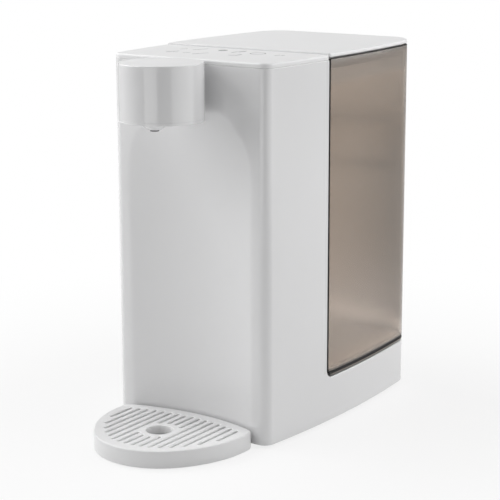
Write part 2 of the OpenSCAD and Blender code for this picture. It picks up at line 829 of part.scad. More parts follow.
// Hose from the pump to the lower end of the heater
module feed_hose() {
  y0 = pump_y + pump_l / 2;
  color([0.90, 0.90, 0.88]) {
    translate([pump_r + hose_end, y0, water_z]) rotate([0, 90, 0])
      hose(heater_x - bend_r - pump_r - hose_end);
    translate([heater_x - bend_r, y0 - bend_r, water_z]) bend();
    translate([heater_x, heater_y + bend_r, water_z]) rotate([-90, 0, 0]) hose(y0 - heater_y - 2 * bend_r);
    translate([heater_x, heater_y + bend_r, water_z + bend_r]) rotate([-90, 0, 0]) rotate([0, 90, 0]) bend();
    translate([heater_x, heater_y, water_z + bend_r]) hose(heater_z - cap_h - hose_end - water_z - bend_r);
  }
}

// Hose from the upper end of the heater to the spout
module outlet_hose() {
  color([0.90, 0.90, 0.88]) {
    translate([heater_x, heater_y, heater_top + cap_h + hose_end])
      hose(outlet_z - bend_r - heater_top - cap_h - hose_end);
    translate([heater_x - bend_r, heater_y, outlet_z - bend_r]) rotate([90, 0, 0]) bend();
    translate([bend_r, heater_y, outlet_z]) rotate([0, 90, 0]) hose(heater_x - 2 * bend_r);
    translate([bend_r, heater_y - bend_r, outlet_z]) rotate([0, 180, 0]) bend();
    translate([0, spout_y + bend_r, outlet_z]) rotate([-90, 0, 0]) hose(heater_y - spout_y - 2 * bend_r);
    translate([0, spout_y + bend_r, outlet_z - bend_r]) rotate([90, 0, -90]) bend();
    translate([0, spout_y, nozzle_z + nozzle_rim + over + fit])
      hose(outlet_z - bend_r - nozzle_z - nozzle_rim - over - fit);
  }
}

// Spring clips on the hose ends
module hose_clips() {
  color([0.68, 0.69, 0.71]) {
    translate([0, dock_y + dock_r + clip_end, water_z]) rotate([-90, 0, 0]) clip();
    translate([0, pump_y - clip_end - clip_w, water_z]) rotate([-90, 0, 0]) clip();
    translate([pump_r + clip_end, pump_y + pump_l / 2, water_z]) rotate([0, 90, 0]) clip();
    translate([heater_x, heater_y, heater_z - cap_h - clip_end - clip_w]) clip();
    translate([heater_x, heater_y, heater_top + cap_h + clip_end]) clip();
    translate([0, spout_y, nozzle_z + nozzle_rim + clip_end]) clip();
  }
}

// Socket in the base that takes the tank valve, with the pin that opens it
module tank_dock() {
  color([0.26, 0.27, 0.29]) difference() {
    union() {
      rod(0, dock_y, dock_floor - dock_t, base_h, dock_r);
      rod(0, dock_y, deck_z - near - shell_t, deck_z - near, dock_r + dock_rim);
      rod_y(0, dock_y, dock_y + dock_r + nipple_l, water_z, nipple_r);
    }
    rod(0, dock_y, flange_z - washer_t, base_h + over, flange_r + seam);
    difference() {
      union() {
        rod(0, dock_y, dock_floor, base_h, socket_r);
        rod(0, dock_y, seal_z - seal_t - lap, seal_z + seal_t + lap, socket_r + seal_t - lap);
      }
      rod(0, dock_y, dock_floor - over, disc_z - stem_l - fit, pin_r);
    }
    rod_y(0, dock_y + socket_r - 2 * over, dock_y + dock_r + nipple_l + over, water_z, nipple_bore);
  }
}

// Seal ring in the wall of the dock
module dock_seal() {
  color([0.10, 0.10, 0.11]) translate([0, dock_y, seal_z]) rotate_extrude($fn = 64)
    translate([socket_r - 2 * lap, 0]) circle(r = seal_t, $fn = 32);
}

// Bush in the rear wall where the mains cord enters
module cord_gland() {
  x = body_w / 5;
  y = yr - shell_t;
  color([0.12, 0.12, 0.13]) difference() {
    union() {
      rod_y(x, y - gland_l / 4, yr - 2 * near, water_z, gland_r);
      rod_y(x, y - gland_l / 4, y - 2 * near, water_z, gland_r + 2 * over);
      rod_y(x, y - gland_l, y - 2 * over, water_z, 0.8 * gland_r);
    }
    rod_y(x, y - gland_l - over, yr + over, water_z, gland_bore);
  }
}

// Four rubber pads
module feet() {
  color([0.10, 0.10, 0.11]) for (p = foot_places())
    linear_extrude(plate_z - hair) polygon(slot_pts(p[0], p[1] - foot_l / 2, p[1] + foot_l / 2, foot_w));
}

// Screws up through the base plate
module base_screws() {
  color([0.70, 0.71, 0.72]) for (p = base_posts())
    translate([p[0], p[1], plate_z - hair]) screw(base_screw_l);
}

// Screws of the column panel and of the heater bands
module panel_screws() {
  color([0.70, 0.71, 0.72]) {
    for (p = panel_holes())
      translate([p[0], panel_y + panel_t + hair, p[1]]) rotate([90, 0, 0]) screw(panel_screw_l);
    for (z = bracket_zs()) for (s = [-1, 1])
      translate([heater_x + s * band_x(), panel_y - band_t + fit - hair, z])
        rotate([-90, 0, 0]) screw(band_screw_l);
  }
}

// Screws of the two boards
module board_screws() {
  color([0.70, 0.71, 0.72]) {
    for (p = board_holes()) translate([p[0], board_y - hair, p[1]]) rotate([-90, 0, 0]) screw(board_screw_l);
    for (p = touch_holes()) translate([p[0], p[1], touch_z - hair]) screw(touch_screw_l);
  }
}

// Tinted tank, open at the top, with a grip pocket in its rear wall
module water_tank() {
  color([0.52, 0.47, 0.43]) difference() {
    union() {
      difference() {
        intersection() {
          slab(0, tank_y, yr, tank_z, tank_top);
          bay(tank_y, tank_z, bay_r - seam);
        }
        difference() {
          slab(tank_t, tank_y + tank_t, yr - tank_t, tank_floor, tank_top + over);
          block([-grip_w / 2 - tank_t, yr - grip_t - tank_t, grip_z - tank_t],
            [grip_w / 2 + tank_t, yr + over, grip_z + grip_h + tank_t]);
        }
      }
      for (s = [-1, 1]) for (y = [tank_y + pad_w / 2, yr - pad_back])
        block([s * pad_x - pad_w / 2, y, base_h + fit], [s * pad_x + pad_w / 2, y + pad_d, tank_z + lap]);
    }
    block([-grip_w / 2, yr - grip_t, grip_z], [grip_w / 2, yr + over, grip_z + grip_h]);
    rod(0, dock_y, tank_z - over, tank_floor + over, neck_r + fit);
    difference() {
      slab(-over, tank_y - over, yr + over, tank_z + groove_up, tank_z + groove_up + groove_h);
      slab(groove_d, tank_y + groove_d, yr - groove_d, tank_z, tank_floor);
    }
  }
}

// Valve body in the floor of the tank
module tank_valve() {
  color([0.30, 0.31, 0.33]) translate([0, dock_y, 0]) rotate_extrude($fn = 64) polygon([
    [seat_r, stub_z + 2 * over], [bore_r - over / 2, stub_z], [stub_r, stub_z], [stub_r, flange_z],
    [flange_r, flange_z], [flange_r, flange_z + flange_t], [neck_r, flange_z + flange_t],
    [neck_r, tank_floor + neck_h], [bore_r, tank_floor + neck_h], [bore_r, seat_z], [seat_r, seat_z]]);
}

// Flat washer between the valve and the tank floor
module valve_washer() {
  color([0.10, 0.10, 0.11])
    ring(0, dock_y, flange_z + flange_t + hair, tank_z - hair, neck_r + near, flange_r - over);
}

// Slotted strainer screwed on the valve, with the guide of the plunger
module tank_strainer() {
  color([0.80, 0.80, 0.78]) difference() {
    rod(0, dock_y, strainer_z, strainer_z + strainer_h, strainer_r);
    rod(0, dock_y, strainer_z - over, strainer_z + strainer_h - strainer_t, neck_r + 2 * near);
    for (k = [0:5]) translate([0, dock_y, strainer_z + neck_h + strainer_t]) rotate([0, 0, k * 60 + 30])
      translate([neck_r - strainer_t, -slit_w / 2, 0])
        cube([4 * strainer_t, slit_w, strainer_h - 2 * neck_h]);
    rod(0, dock_y, strainer_z, strainer_z + strainer_h + over, stem_r + near);
  }
}

// Compression spring of the valve: a round wire swept along a helix
module valve_spring() {
  turns = 5;
  steps = 80;
  sides = 8;
  rise = strainer_z + strainer_h - strainer_t - lap - spring_z - 2 * wire_r;
  color([0.75, 0.76, 0.78]) translate([0, dock_y, spring_z + wire_r]) polyhedron(
    points = [for (s = [0:steps]) for (k = [0:sides - 1])
      let(a = 360 * turns * s / steps, b = 360 * k / sides, r = spring_r + wire_r * cos(b))
      [r * cos(a), r * sin(a), rise * s / steps + wire_r * sin(b)]],
    faces = concat(
      [[for (k = [0:sides - 1]) k]],
      [for (s = [0:steps - 1]) for (k = [0:sides - 1]) for (h = [0, 1]) let(n = (k + 1) % sides)
        h == 0 ? [s * sides + k, (s + 1) * sides + n, s * sides + n]
          : [s * sides + k, (s + 1) * sides + k, (s + 1) * sides + n]],
      [[for (k = [sides - 1:-1:0]) steps * sides + k]]));
}

// Plunger that closes the valve when the tank is lifted
module valve_plunger() {
  color([0.92, 0.92, 0.90]) translate([0, dock_y, 0]) {
    rod(0, 0, disc_z - stem_l, strainer_z + strainer_h + stem_up, stem_r);
    rod(0, 0, disc_z, disc_z + disc_h, disc_r);
  }
}

// Seal ring under the plunger disc
module valve_seal() {
  color([0.10, 0.10, 0.11])
    ring(0, dock_y, disc_z - disc_gap + fit, disc_z - hair, seat_r + near, disc_r - lap);
}

// Lift-off lid of the tank
module tank_lid() {
  core = plug_in + plug_t;
  color([0.88, 0.89, 0.91]) {
    difference() {
      slab(0, tank_y, yr, lid_z, body_h);
      slab(shell_t, tank_y + shell_t, yr - shell_t, lid_z - over, body_h - lid_t);
    }
    difference() {
      slab(plug_in, tank_y + plug_in, yr - plug_in, lid_z - plug_h, body_h - lid_t + lap);
      slab(core, tank_y + core, yr - core, lid_z - plug_h - over, body_h - lid_t + near);
    }
  }
}

// Seal round the plug of the lid
module lid_gasket() {
  edge = tank_t + 4 * near;
  core = plug_in - near;
  top = lid_z - gasket_up;
  color([0.90, 0.90, 0.88]) difference() {
    slab(edge, tank_y + edge, yr - edge, top - gasket_h, top);
    slab(core, tank_y + core, yr - core, top - gasket_h - over, top + over);
  }
}

// Outline of the tray, set in by i, fitted into the hollow of the front face
module tray_plan(i) {
  polygon(both_halves(half_tray(i)));
}

// Pan that collects the drips
module drip_tray() {
  color([0.55, 0.56, 0.58]) difference() {
    linear_extrude(tray_h - tray_t - fit) tray_plan(tray_t + slide);
    translate([0, 0, pan_t]) linear_extrude(tray_h) tray_plan(tray_t + slide + pan_t);
  }
}

// Slotted cap over the pan
module drip_grille() {
  ring_r = drain_d / 2 + ring_w;
  color([0.88, 0.89, 0.90]) difference() {
    union() {
      translate([0, 0, tray_lift]) linear_extrude(tray_h - tray_lift) tray_plan(0);
      for (s = [-1, 1]) intersection() {
        ring(0, recess_y, stop_z, stop_z + stop_h, recess_r - tray_gap - lap, recess_r - fit);
        block([s * stop_x - stop_w / 2, recess_y, 0], [s * stop_x + stop_w / 2, yr, tray_h]);
      }
    }
    linear_extrude(tray_h - tray_t) tray_plan(tray_t);
    translate([0, 0, tray_h - tray_t - over]) linear_extrude(tray_t + 2 * over) {
      translate([0, spout_y]) circle(d = drain_d, $fn = 64);
      for (k = [-8:7]) let(x = (k + 0.5) * slot_pitch)
        if (abs(x) > ring_r) polygon(slot_pts(x, slot_front(x), slot_rear(x), slot_w));
        else {
          polygon(slot_pts(x, slot_front(x), spout_y - sqrt(ring_r * ring_r - x * x), slot_w));
          polygon(slot_pts(x, spout_y + sqrt(ring_r * ring_r - x * x), slot_rear(x), slot_w));
        }
    }
  }
}

housing();
top_cover();
column_back();
base_plate();
nozzle_shell();
nozzle_clamp();
nozzle_base();
spout_tip();
heater();
heater_caps();
heater_brackets();
thermal_cutout();
temp_sensor();
main_board();
touch_board();
light_guide();
ribbon_cable();
pump_motor();
pump_head();
pump_cradle();
inlet_hose();
feed_hose();
outlet_hose();
hose_clips();
tank_dock();
dock_seal();
cord_gland();
feet();
base_screws();
panel_screws();
board_screws();
pump_rotor();
water_tank();
tank_valve();
valve_washer();
tank_strainer();
valve_spring();
valve_plunger();
valve_seal();
tank_lid();
lid_gasket();
drip_tray();
drip_grille();
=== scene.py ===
"""Looks of an instant hot water dispenser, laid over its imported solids.

Lengths are metres in the solids' own frame: +Z is up, the front faces -Y, the origin is on the table.
"""

import math

import bmesh
import bpy
import numpy as np
from bpy.props import FloatProperty, FloatVectorProperty, PointerProperty
from mathutils import Matrix, Vector
from mathutils.geometry import delaunay_2d_cdt


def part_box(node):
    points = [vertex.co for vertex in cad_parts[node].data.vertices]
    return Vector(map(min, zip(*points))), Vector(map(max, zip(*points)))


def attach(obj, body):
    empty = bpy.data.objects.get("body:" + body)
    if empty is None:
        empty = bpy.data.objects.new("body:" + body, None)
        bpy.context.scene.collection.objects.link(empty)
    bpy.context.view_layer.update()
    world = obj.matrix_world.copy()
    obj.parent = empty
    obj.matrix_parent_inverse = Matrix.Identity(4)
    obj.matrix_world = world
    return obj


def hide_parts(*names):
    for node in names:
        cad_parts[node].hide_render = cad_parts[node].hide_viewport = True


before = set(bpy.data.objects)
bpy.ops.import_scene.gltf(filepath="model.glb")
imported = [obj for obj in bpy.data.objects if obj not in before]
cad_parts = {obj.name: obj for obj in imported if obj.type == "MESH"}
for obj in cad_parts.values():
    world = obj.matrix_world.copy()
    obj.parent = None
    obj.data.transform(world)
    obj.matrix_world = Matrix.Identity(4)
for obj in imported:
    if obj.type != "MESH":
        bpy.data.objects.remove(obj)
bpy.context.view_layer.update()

bl_info = {
    "name": "Hot Water Dispenser",
    "version": (1, 0, 0),
    "blender": (4, 5, 0),
    "location": "View3D > Sidebar > Dispenser",
    "description": "Builds the shells, the tank, the tray and the finishes of a hot water dispenser",
    "category": "Object",
}

housing_low, housing_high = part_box("housing")
nozzle_low, nozzle_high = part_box("nozzle_shell")
base_low, base_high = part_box("nozzle_base")
spout_low, spout_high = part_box("spout_tip")
grille_low, grille_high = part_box("drip_grille")
pan_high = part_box("drip_tray")[1]
lid_low, lid_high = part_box("tank_lid")
gland_low, gland_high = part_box("cord_gland")
tank_low, tank_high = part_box("water_tank")

MM = 0.001
SEAM = 0.00005  # gap between two shells that meet
BESIDE = 0.0003  # distance from a small edge to the row that keeps the face beside it flat
LEAST = 0.0003  # smallest radius of a corner that is set in
TANK_CORNER = 0.0014  # radius of the front corners of the tank and its lid in plan


def number(name, description, default, **kind):
    """A number property."""
    return FloatProperty(name=name, description=description, default=default, **kind)


def length(name, description, default):
    """A length property in metres."""
    return number(name, description, default, unit="LENGTH", precision=5)


def colour(name, description, default):
    """A colour property, linear red, green and blue."""
    return FloatVectorProperty(name=name, description=description, default=default, size=3,
                               subtype="COLOR", min=0.0, max=1.0)


class DispenserBody(bpy.types.PropertyGroup):
    """Sizes of the column, the base and the top cover."""

    front: length("Front", "Depth coordinate of the front face", housing_low.y)
    rear: length("Rear", "Depth coordinate of the rear face", housing_high.y)
    width: length("Width", "Widest part of the body", housing_high.x - housing_low.x)
    foot: length("Foot", "Height of the lower edge above the table", housing_low.z)
    rim: length("Rim", "Height of the rim that carries the cover", housing_high.z)
    top: length("Top", "Height of the top cover and the nozzle head", nozzle_high.z)
    bow: length("Bow", "How far each side bows out", 0.007)
    widest: number("Widest", "Share of the depth at which the sides are widest", 0.4745, subtype="FACTOR")
    front_radius: length("Front radius", "Radius of the front corners in plan", 0.008)
    rear_radius: length("Rear radius", "Radius of the rear corners in plan", 0.023)
    wall: length("Wall", "Wall thickness", 0.0025)
    column: length("Column", "Depth of the column", 0.0732)
    deck: length("Deck", "Height of the deck under the tank", 0.036)
    dock: length("Dock", "Distance of the dock ahead of the rear face", 0.1045)
    dock_hole: length("Dock hole", "Radius of the hole for the dock", 0.0193)
    gland_hole: length("Gland hole", "Radius of the hole for the cord bush", 0.0072)
    bay: length("Bay", "Radius of the inner corner between the column and the deck", 0.008)
    cover_edge: length("Cover edge", "Radius of the upper edge of the cover", 0.0016)
    small_edge: length("Small edge", "Radius of the edges at the seams", 0.0004)
    deck_edge: length("Deck edge", "Radius of the outer edge of the deck", 0.0012)
    hollow_width: length("Hollow width", "Width of the hollow in the front face", 0.109)
    hollow_depth: length("Hollow depth", "Depth of the hollow in the front face", 0.009)
    hollow_arch: length("Hollow arch", "Height at which the arch of the hollow begins", 0.197)
    hollow_soft: length("Hollow softness", "Softness of the edge of the hollow", 0.0006)


class DispenserNozzle(bpy.types.PropertyGroup):
    """Sizes of the nozzle head and the spout."""

    radius: length("Radius", "Radius of the nozzle head", (nozzle_high.x - nozzle_low.x) / 2)
    axis: length("Axis", "Depth coordinate of its axis", (base_low.y + base_high.y) / 2)
    low: length("Low", "Height of the lower face", base_low.z)
    seam: length("Seam", "Height of the bottom cap below its seam", 0.0021)
    edge: length("Edge", "Radius of the upper edge", 0.0007)
    neck: length("Neck", "Width of the neck behind the head", 0.026)
    neck_low: length("Neck low", "Height of the lower side of the neck", 0.2456)
    neck_high: length("Neck high", "Height of the upper side of the neck", 0.2724)
    spout: length("Spout", "Depth coordinate of the spout", (spout_low.y + spout_high.y) / 2)
    spout_low: length("Spout low", "Height of the outlet", spout_low.z)
    spout_radius: length("Spout radius", "Radius of the spout where it meets the head",
                         (spout_high.x - spout_low.x) / 2)
    outlet_radius: length("Outlet radius", "Radius of the spout at its lower end", 0.0044)
    outlet: length("Outlet", "Radius of the bush in the outlet", 0.0033)
    skirt: length("Skirt", "Radius of the shallow cone round the spout", 0.0113)


class DispenserTank(bpy.types.PropertyGroup):
    """Sizes of the water tank and its lid."""

    front: length("Front", "Depth coordinate of the front wall", lid_low.y)
    low: length("Low", "Height of the underside", 0.0374)
    floor: length("Floor", "Height of the inner floor", 0.0404)
    rim: length("Rim", "Height of the rim", tank_high.z)
    flange: length("Flange", "Thickness of the flange under the groove", 0.0012)
    groove: length("Groove", "Height of the groove above the flange", 0.0016)
    groove_depth: length("Groove depth", "Depth of the groove", 0.001)
    wall: length("Wall", "Wall thickness", 0.0025)
    edge: length("Edge", "Radius of the edges at the flange", 0.0003)
    heel: length("Heel", "Radius of the lower edge towards the column", 0.0069)
    grip_width: length("Grip width", "Width of the grip pocket", 0.086)
    grip_low: length("Grip low", "Height of the lower edge of the grip pocket", 0.179)
    grip_high: length("Grip high", "Height of the upper edge of the grip pocket", 0.216)
    grip_depth: length("Grip depth", "Depth of the grip pocket", 0.02)
    lid_low: length("Lid low", "Height of the lower edge of the lid", 0.279)
    lid_high: length("Lid high", "Height of the top of the lid", lid_high.z)
    plug_low: length("Plug low", "Height of the lower edge of the lid's plug", lid_low.z)
    pad_x: length("Pad place", "Distance of the rest pads from the middle", 0.046)
    pad_low: length("Pad low", "Height of the underside of the rest pads", tank_low.z)


class DispenserTray(bpy.types.PropertyGroup):
    """Sizes of the drip tray and its slotted cap."""

    front: length("Front", "Depth coordinate of the front of the tray", grille_low.y)
    width: length("Width", "Width of the tray", grille_high.x - grille_low.x)
    top: length("Top", "Height of the cap", grille_high.z)
    low: length("Low", "Height of the lower edge of the cap", grille_low.z)
    wall: length("Wall", "Thickness of the cap", 0.002)
    gap: length("Gap", "Gap between the tray and the body", 0.002)
    side_radius: length("Side radius", "Radius of the long side curves", 0.0804)
    widest: length("Widest", "Distance of the widest part ahead of the front face", 0.0141)
    corner: length("Corner", "Radius of the rear corners", 0.0065)
    edge: length("Edge", "Radius of the upper edge", 0.0011)
    slot: length("Slot", "Width of one slot", 0.003)
    pitch: length("Pitch", "Spacing of the slots", 0.0065)
    rim: length("Rim", "Width of the rim round the slots", 0.0085)
    rim_slim: length("Slim rim", "How much narrower the rim is at the widest part", 0.0024)
    slot_edge: length("Slot edge", "Radius of the edges of the slots", 0.0003)
    draft: length("Draft", "How much narrower a slot is on each side at its lower edge", 0.0009)
    drain: length("Drain", "Radius of the round drain hole", 0.01)
    ring: length("Ring", "Radius of the ring round the drain hole", 0.015)
    collar: length("Collar", "Thickness of the short collar under the drain hole", 0.0012)
    collar_low: length("Collar low", "Height of the lower edge of the collar", 0.0072)
    stop: length("Stop", "Distance of the two rear stops from the middle", 0.026)
    pan_inset: length("Pan inset", "Distance of the pan inside the cap", 0.0025)
    pan_wall: length("Pan wall", "Thickness of the pan", 0.0016)
    pan_top: length("Pan top", "Height of the pan", pan_high.z)


class DispenserColours(bpy.types.PropertyGroup):
    """Colours of the finishes."""

    shell: colour("Shell", "White plastic of the body", (0.785, 0.785, 0.79))
    cover: colour("Cover", "White plastic of the cover and the lid", (0.825, 0.825, 0.828))
    tray: colour("Tray", "White plastic of the drip tray", (0.79, 0.79, 0.793))
    pan: colour("Pan", "White plastic of the pan", (0.92, 0.92, 0.92))
    tank: colour("Tank", "Smoke tint of the tank", (0.50, 0.448, 0.402))
    # painted light: the tank floor gets an opaque pale colour that stands in for the lit white deck seen through the
    # smoke
    tank_floor: colour("Tank floor", "Pale smoke of the floor over the white deck", (0.67, 0.64, 0.615))
    inner: colour("Inner", "Grey plastic of the inner panels", (0.55, 0.56, 0.575))
    dark: colour("Dark", "Dark plastic of the spout and the valve", (0.045, 0.047, 0.05))
    ink: colour("Ink", "Print of the symbols", (0.10, 0.10, 0.11))
    rubber: colour("Rubber", "Rubber of the feet and the seals", (0.025, 0.025, 0.027))
    hose: colour("Hose", "Silicone of the hoses", (0.72, 0.72, 0.69))
    steel: colour("Steel", "Bright steel", (0.62, 0.63, 0.65))
    cast: colour("Cast", "Cast heater block", (0.50, 0.50, 0.52))
    brass: colour("Brass", "Brass of the sensor", (0.70, 0.52, 0.24))
    board: colour("Board", "Lacquer of the circuit boards", (0.02, 0.11, 0.05))


class DispenserStage(bpy.types.PropertyGroup):
    """Camera and light."""

    place: FloatVectorProperty(name="Camera place", description="Where the camera stands", size=3,
                               default=(0.6933, -1.00305, 0.4035), subtype="XYZ", unit="LENGTH")
    azimuth: number("Azimuth", "Turn of the camera from the front", math.radians(34.275), unit="ROTATION")
    elevation: number("Elevation", "Tilt of the camera", math.radians(12.716), unit="ROTATION")
    roll: number("Roll", "Roll of the camera", math.radians(-0.139), unit="ROTATION")
    lens: number("Lens", "Focal length in millimetres on a 36 mm sensor", 117.6)
    ambient: number("Ambient", "Even light from all round", 0.10)
    mirror: number("Mirror", "How bright the surroundings look in gloss", 0.5)
    glow: number("Glow", "Brightness of the floor where it is seen", 1.0)
    left: number("Left panel", "Power of the high panel on the left", 8.95)
    front: number("Front panel", "Power of the low panel in front", 0.46)
    right: number("Right panel", "Power of the high panel on the right", 5.8)
    low: number("Low panel", "Power of the low panel on the right", 0.71)
    above_left: number("Upper left panel", "Power of the panel above on the left", 3.54)
    above_right: number("Upper right panel", "Power of the panel above on the right", 2.3)


def groups_on(scene, *names):
    """Groups of settings on the scene, by the last part of their names."""
    return [getattr(scene, "dispenser_" + name) for name in names]


def arc(cx, cy, radius, start, end, steps):
    """Points (cx + r cos t, cy + r sin t) at equal angles t from start to end, both ends included."""
    t = np.linspace(start, end, steps + 1)
    return np.stack([cx + radius * np.cos(t), cy + radius * np.sin(t)], -1)


def rounded(points, radii, steps=6):
    """An open line whose inner corners are replaced by arcs.

    An arc of radius r touches both legs at r / tan(half the corner angle); its points run by equal angles.
    """
    p = np.asarray(points, float)
    r = np.broadcast_to(np.asarray(radii, float), (len(p) - 2,))[:, None]
    a, b = p[:-2] - p[1:-1], p[2:] - p[1:-1]
    a = a / np.linalg.norm(a, axis=1, keepdims=True)
    b = b / np.linalg.norm(b, axis=1, keepdims=True)
    half = np.arccos(np.clip((a * b).sum(1, keepdims=True), -1, 1)) / 2
    centre = p[1:-1] + (a + b) / np.linalg.norm(a + b, axis=1, keepdims=True) * r / np.sin(half)
    start, end = p[1:-1] + a * r / np.tan(half) - centre, p[1:-1] + b * r / np.tan(half) - centre
    turn = math.pi - 2 * half[:, :, None]
    s = np.linspace(0, 1, steps + 1)[None, :, None]
    bend = (np.sin((1 - s) * turn) * start[:, None] + np.sin(s * turn) * end[:, None]) / np.sin(turn)
    return np.concatenate([p[:1], (centre[:, None] + bend).reshape(-1, 2), p[-1:]])


def quarter(radius, steps=5):
    """Rows (inset, drop) of a rounded edge: inset r(1 - cos t), drop r(1 - sin t), t from 0 to 90 degrees."""
    t = np.linspace(0, math.pi / 2, steps + 1)
    return np.stack([radius * (1 - np.cos(t)), radius * (1 - np.sin(t))], -1)


def step(x):
    """Smooth step 3t^2 - 2t^3 with t = (x + 1) / 2 held between 0 and 1."""
    t = np.clip((x + 1) / 2, 0, 1)
    return t * t * (3 - 2 * t)


def mirrored(half):
    """A half outline from front to rear on the right, joined to its mirror image as one closed ring."""
    return np.concatenate([half, half[-2:0:-1] * [-1, 1]])


def lifted(ring, z):
    """A flat ring as points at height z."""
    return np.concatenate([ring, np.broadcast_to(z, (len(ring),))[:, None]], 1)


def turned(profile, x, y, steps=96):
    """Surface of revolution: each profile point (r, z) turned about the upright line through (x, y)."""
    p = np.asarray(profile, float)
    t = np.linspace(0, 2 * math.pi, steps, endpoint=False)
    return np.stack([x + p[:, :1] * np.cos(t), y + p[:, :1] * np.sin(t), p[:, 1:] + 0 * t], -1)


def capsule(start, end, width, steps=8):
    """Outline of a bar with round ends between two points, anticlockwise."""
    start, end = np.asarray(start, float), np.asarray(end, float)
    a = math.atan2(*(end - start)[::-1])
    return np.concatenate([arc(*end, width / 2, a - math.pi / 2, a + math.pi / 2, steps),
                           arc(*start, width / 2, a + math.pi / 2, a + 1.5 * math.pi, steps)])


def patch(ring, hole, power, rows):
    """Rows from an outer ring to a hole: p = (1 - t) ring + t hole, t = u to a power, so rows crowd the ring."""
    t = np.linspace(0, 1, rows)[:, None, None] ** power
    return (1 - t) * ring + t * hole


class BodyPlan:
    """Plan outline of the body: x = w/2 - bow ((y - mid) / (d/2))^2 on each side, with round corners."""

    def __init__(self, body):
        self.half = body.width / 2
        self.mid = body.front + body.widest * (body.rear - body.front)
        self.curve = body.bow / ((body.rear - body.front) / 2) ** 2

    def side(self, y):
        """Half width at depth y."""
        return self.half - self.curve * (y - self.mid) ** 2

    def lean(self, y):
        """Angle of the side's outward direction at depth y."""
        return np.arctan(2 * self.curve * (y - self.mid))

    def flank(self, y, inset):
        """Points of the right side at depths y, moved in along the side's own direction."""
        a = self.lean(y)
        return np.stack([self.side(y) - inset * np.cos(a), y - inset * np.sin(a)], -1)

    def corner(self, edge, radius, inset, end):
        """Centre of the corner arc that touches the edge line and the inset side; end is -1 in front, 1 behind."""
        y = edge - end * radius
        return self.side(y) - (radius + inset) / np.cos(self.lean(y)), y

    def ring(self, front, rear, front_radius, rear_radius, inset, front_inset, rear_inset, counts):
        """Closed outline between two depths, set in by different amounts at the sides, in front and behind."""
        across, bend0, along, bend1 = counts
        r0, r1 = max(front_radius - inset, LEAST), max(rear_radius - inset, LEAST)
        x0, y0 = self.corner(front + front_inset, r0, inset, -1)
        x1, y1 = self.corner(rear - rear_inset, r1, inset, 1)
        a0, a1 = self.lean(y0), self.lean(y1)
        sides = np.linspace(y0 + r0 * math.sin(a0), y1 + r1 * math.sin(a1), along + 1)[1:-1]
        last = a1 + (math.pi / 2 - a1) * (1 - (1 - np.linspace(0, 1, bend1 + 1)) ** 1.5)
        rear_x = x1 * (1 - np.linspace(0, 1, across + 1)[1:] ** 1.4)
        return mirrored(np.concatenate([
            np.stack([np.linspace(0, x0, across, endpoint=False), np.full(across, front + front_inset)], -1),
            arc(x0, y0, r0, -math.pi / 2, a0, bend0),
            self.flank(sides, inset),
            np.stack([x1 + r1 * np.cos(last), y1 + r1 * np.sin(last)], -1),
            np.stack([rear_x, np.full(across, rear - rear_inset)], -1)]))


class TrayPlan:
    """Outline of the drip tray: a nose arc, two side arcs and a rear edge that follows the hollow of the body."""

    def __init__(self, tray, body):
        self.front, self.corner_radius, self.gap = tray.front, tray.corner, tray.gap
        self.face = body.front
        self.side_radius = tray.side_radius
        self.shift = tray.side_radius - tray.width / 2
        self.mid = body.front - tray.widest
        reach = self.mid - tray.front
        self.nose = (tray.side_radius ** 2 - self.shift ** 2 - reach ** 2) / (2 * (tray.side_radius - reach))
        self.join = math.atan2(tray.front + self.nose - self.mid, self.shift)
        self.hollow = hollow_radius(body)
        self.hollow_y = body.front + body.hollow_depth - self.hollow

    def ring(self, inset):
        """Closed outline set in by inset."""
        r, c = self.side_radius - inset, max(self.corner_radius - inset, 0.0005)
        edge = self.face - self.gap - inset
        angle = math.asin((edge - c - self.mid) / (r - c))
        x, y = (r - c) * math.cos(angle) - self.shift, edge - c
        back = self.hollow - self.gap - inset
        meet = min(math.sqrt(back ** 2 - (edge - self.hollow_y) ** 2), x - 0.0004)
        return mirrored(np.concatenate([
            arc(0, self.front + self.nose, self.nose - inset, -math.pi / 2, self.join, 22),
            arc(-self.shift, self.mid, r, self.join, angle, 36)[1:-1],
            arc(x, y, c, angle, math.pi / 2, 6),
            arc(0, self.hollow_y, back, math.acos(meet / back), math.pi / 2, 22)]))

    def slot_front(self, x, rim):
        """Depth of the rim's inner edge in front, at a place across."""
        nose, side = self.nose - rim, self.side_radius - rim
        bow = self.front + self.nose - np.sqrt(np.maximum(nose ** 2 - x ** 2, 0))
        flank = self.mid - np.sqrt(np.maximum(side ** 2 - (np.abs(x) + self.shift) ** 2, 0))
        return np.where(np.abs(x) < nose * math.cos(self.join), bow, flank)

    def slot_rear(self, x, rim):
        """Depth of the rim's inner edge behind, at a place across."""
        return self.hollow_y + np.sqrt((self.hollow - self.gap - rim) ** 2 - x ** 2)


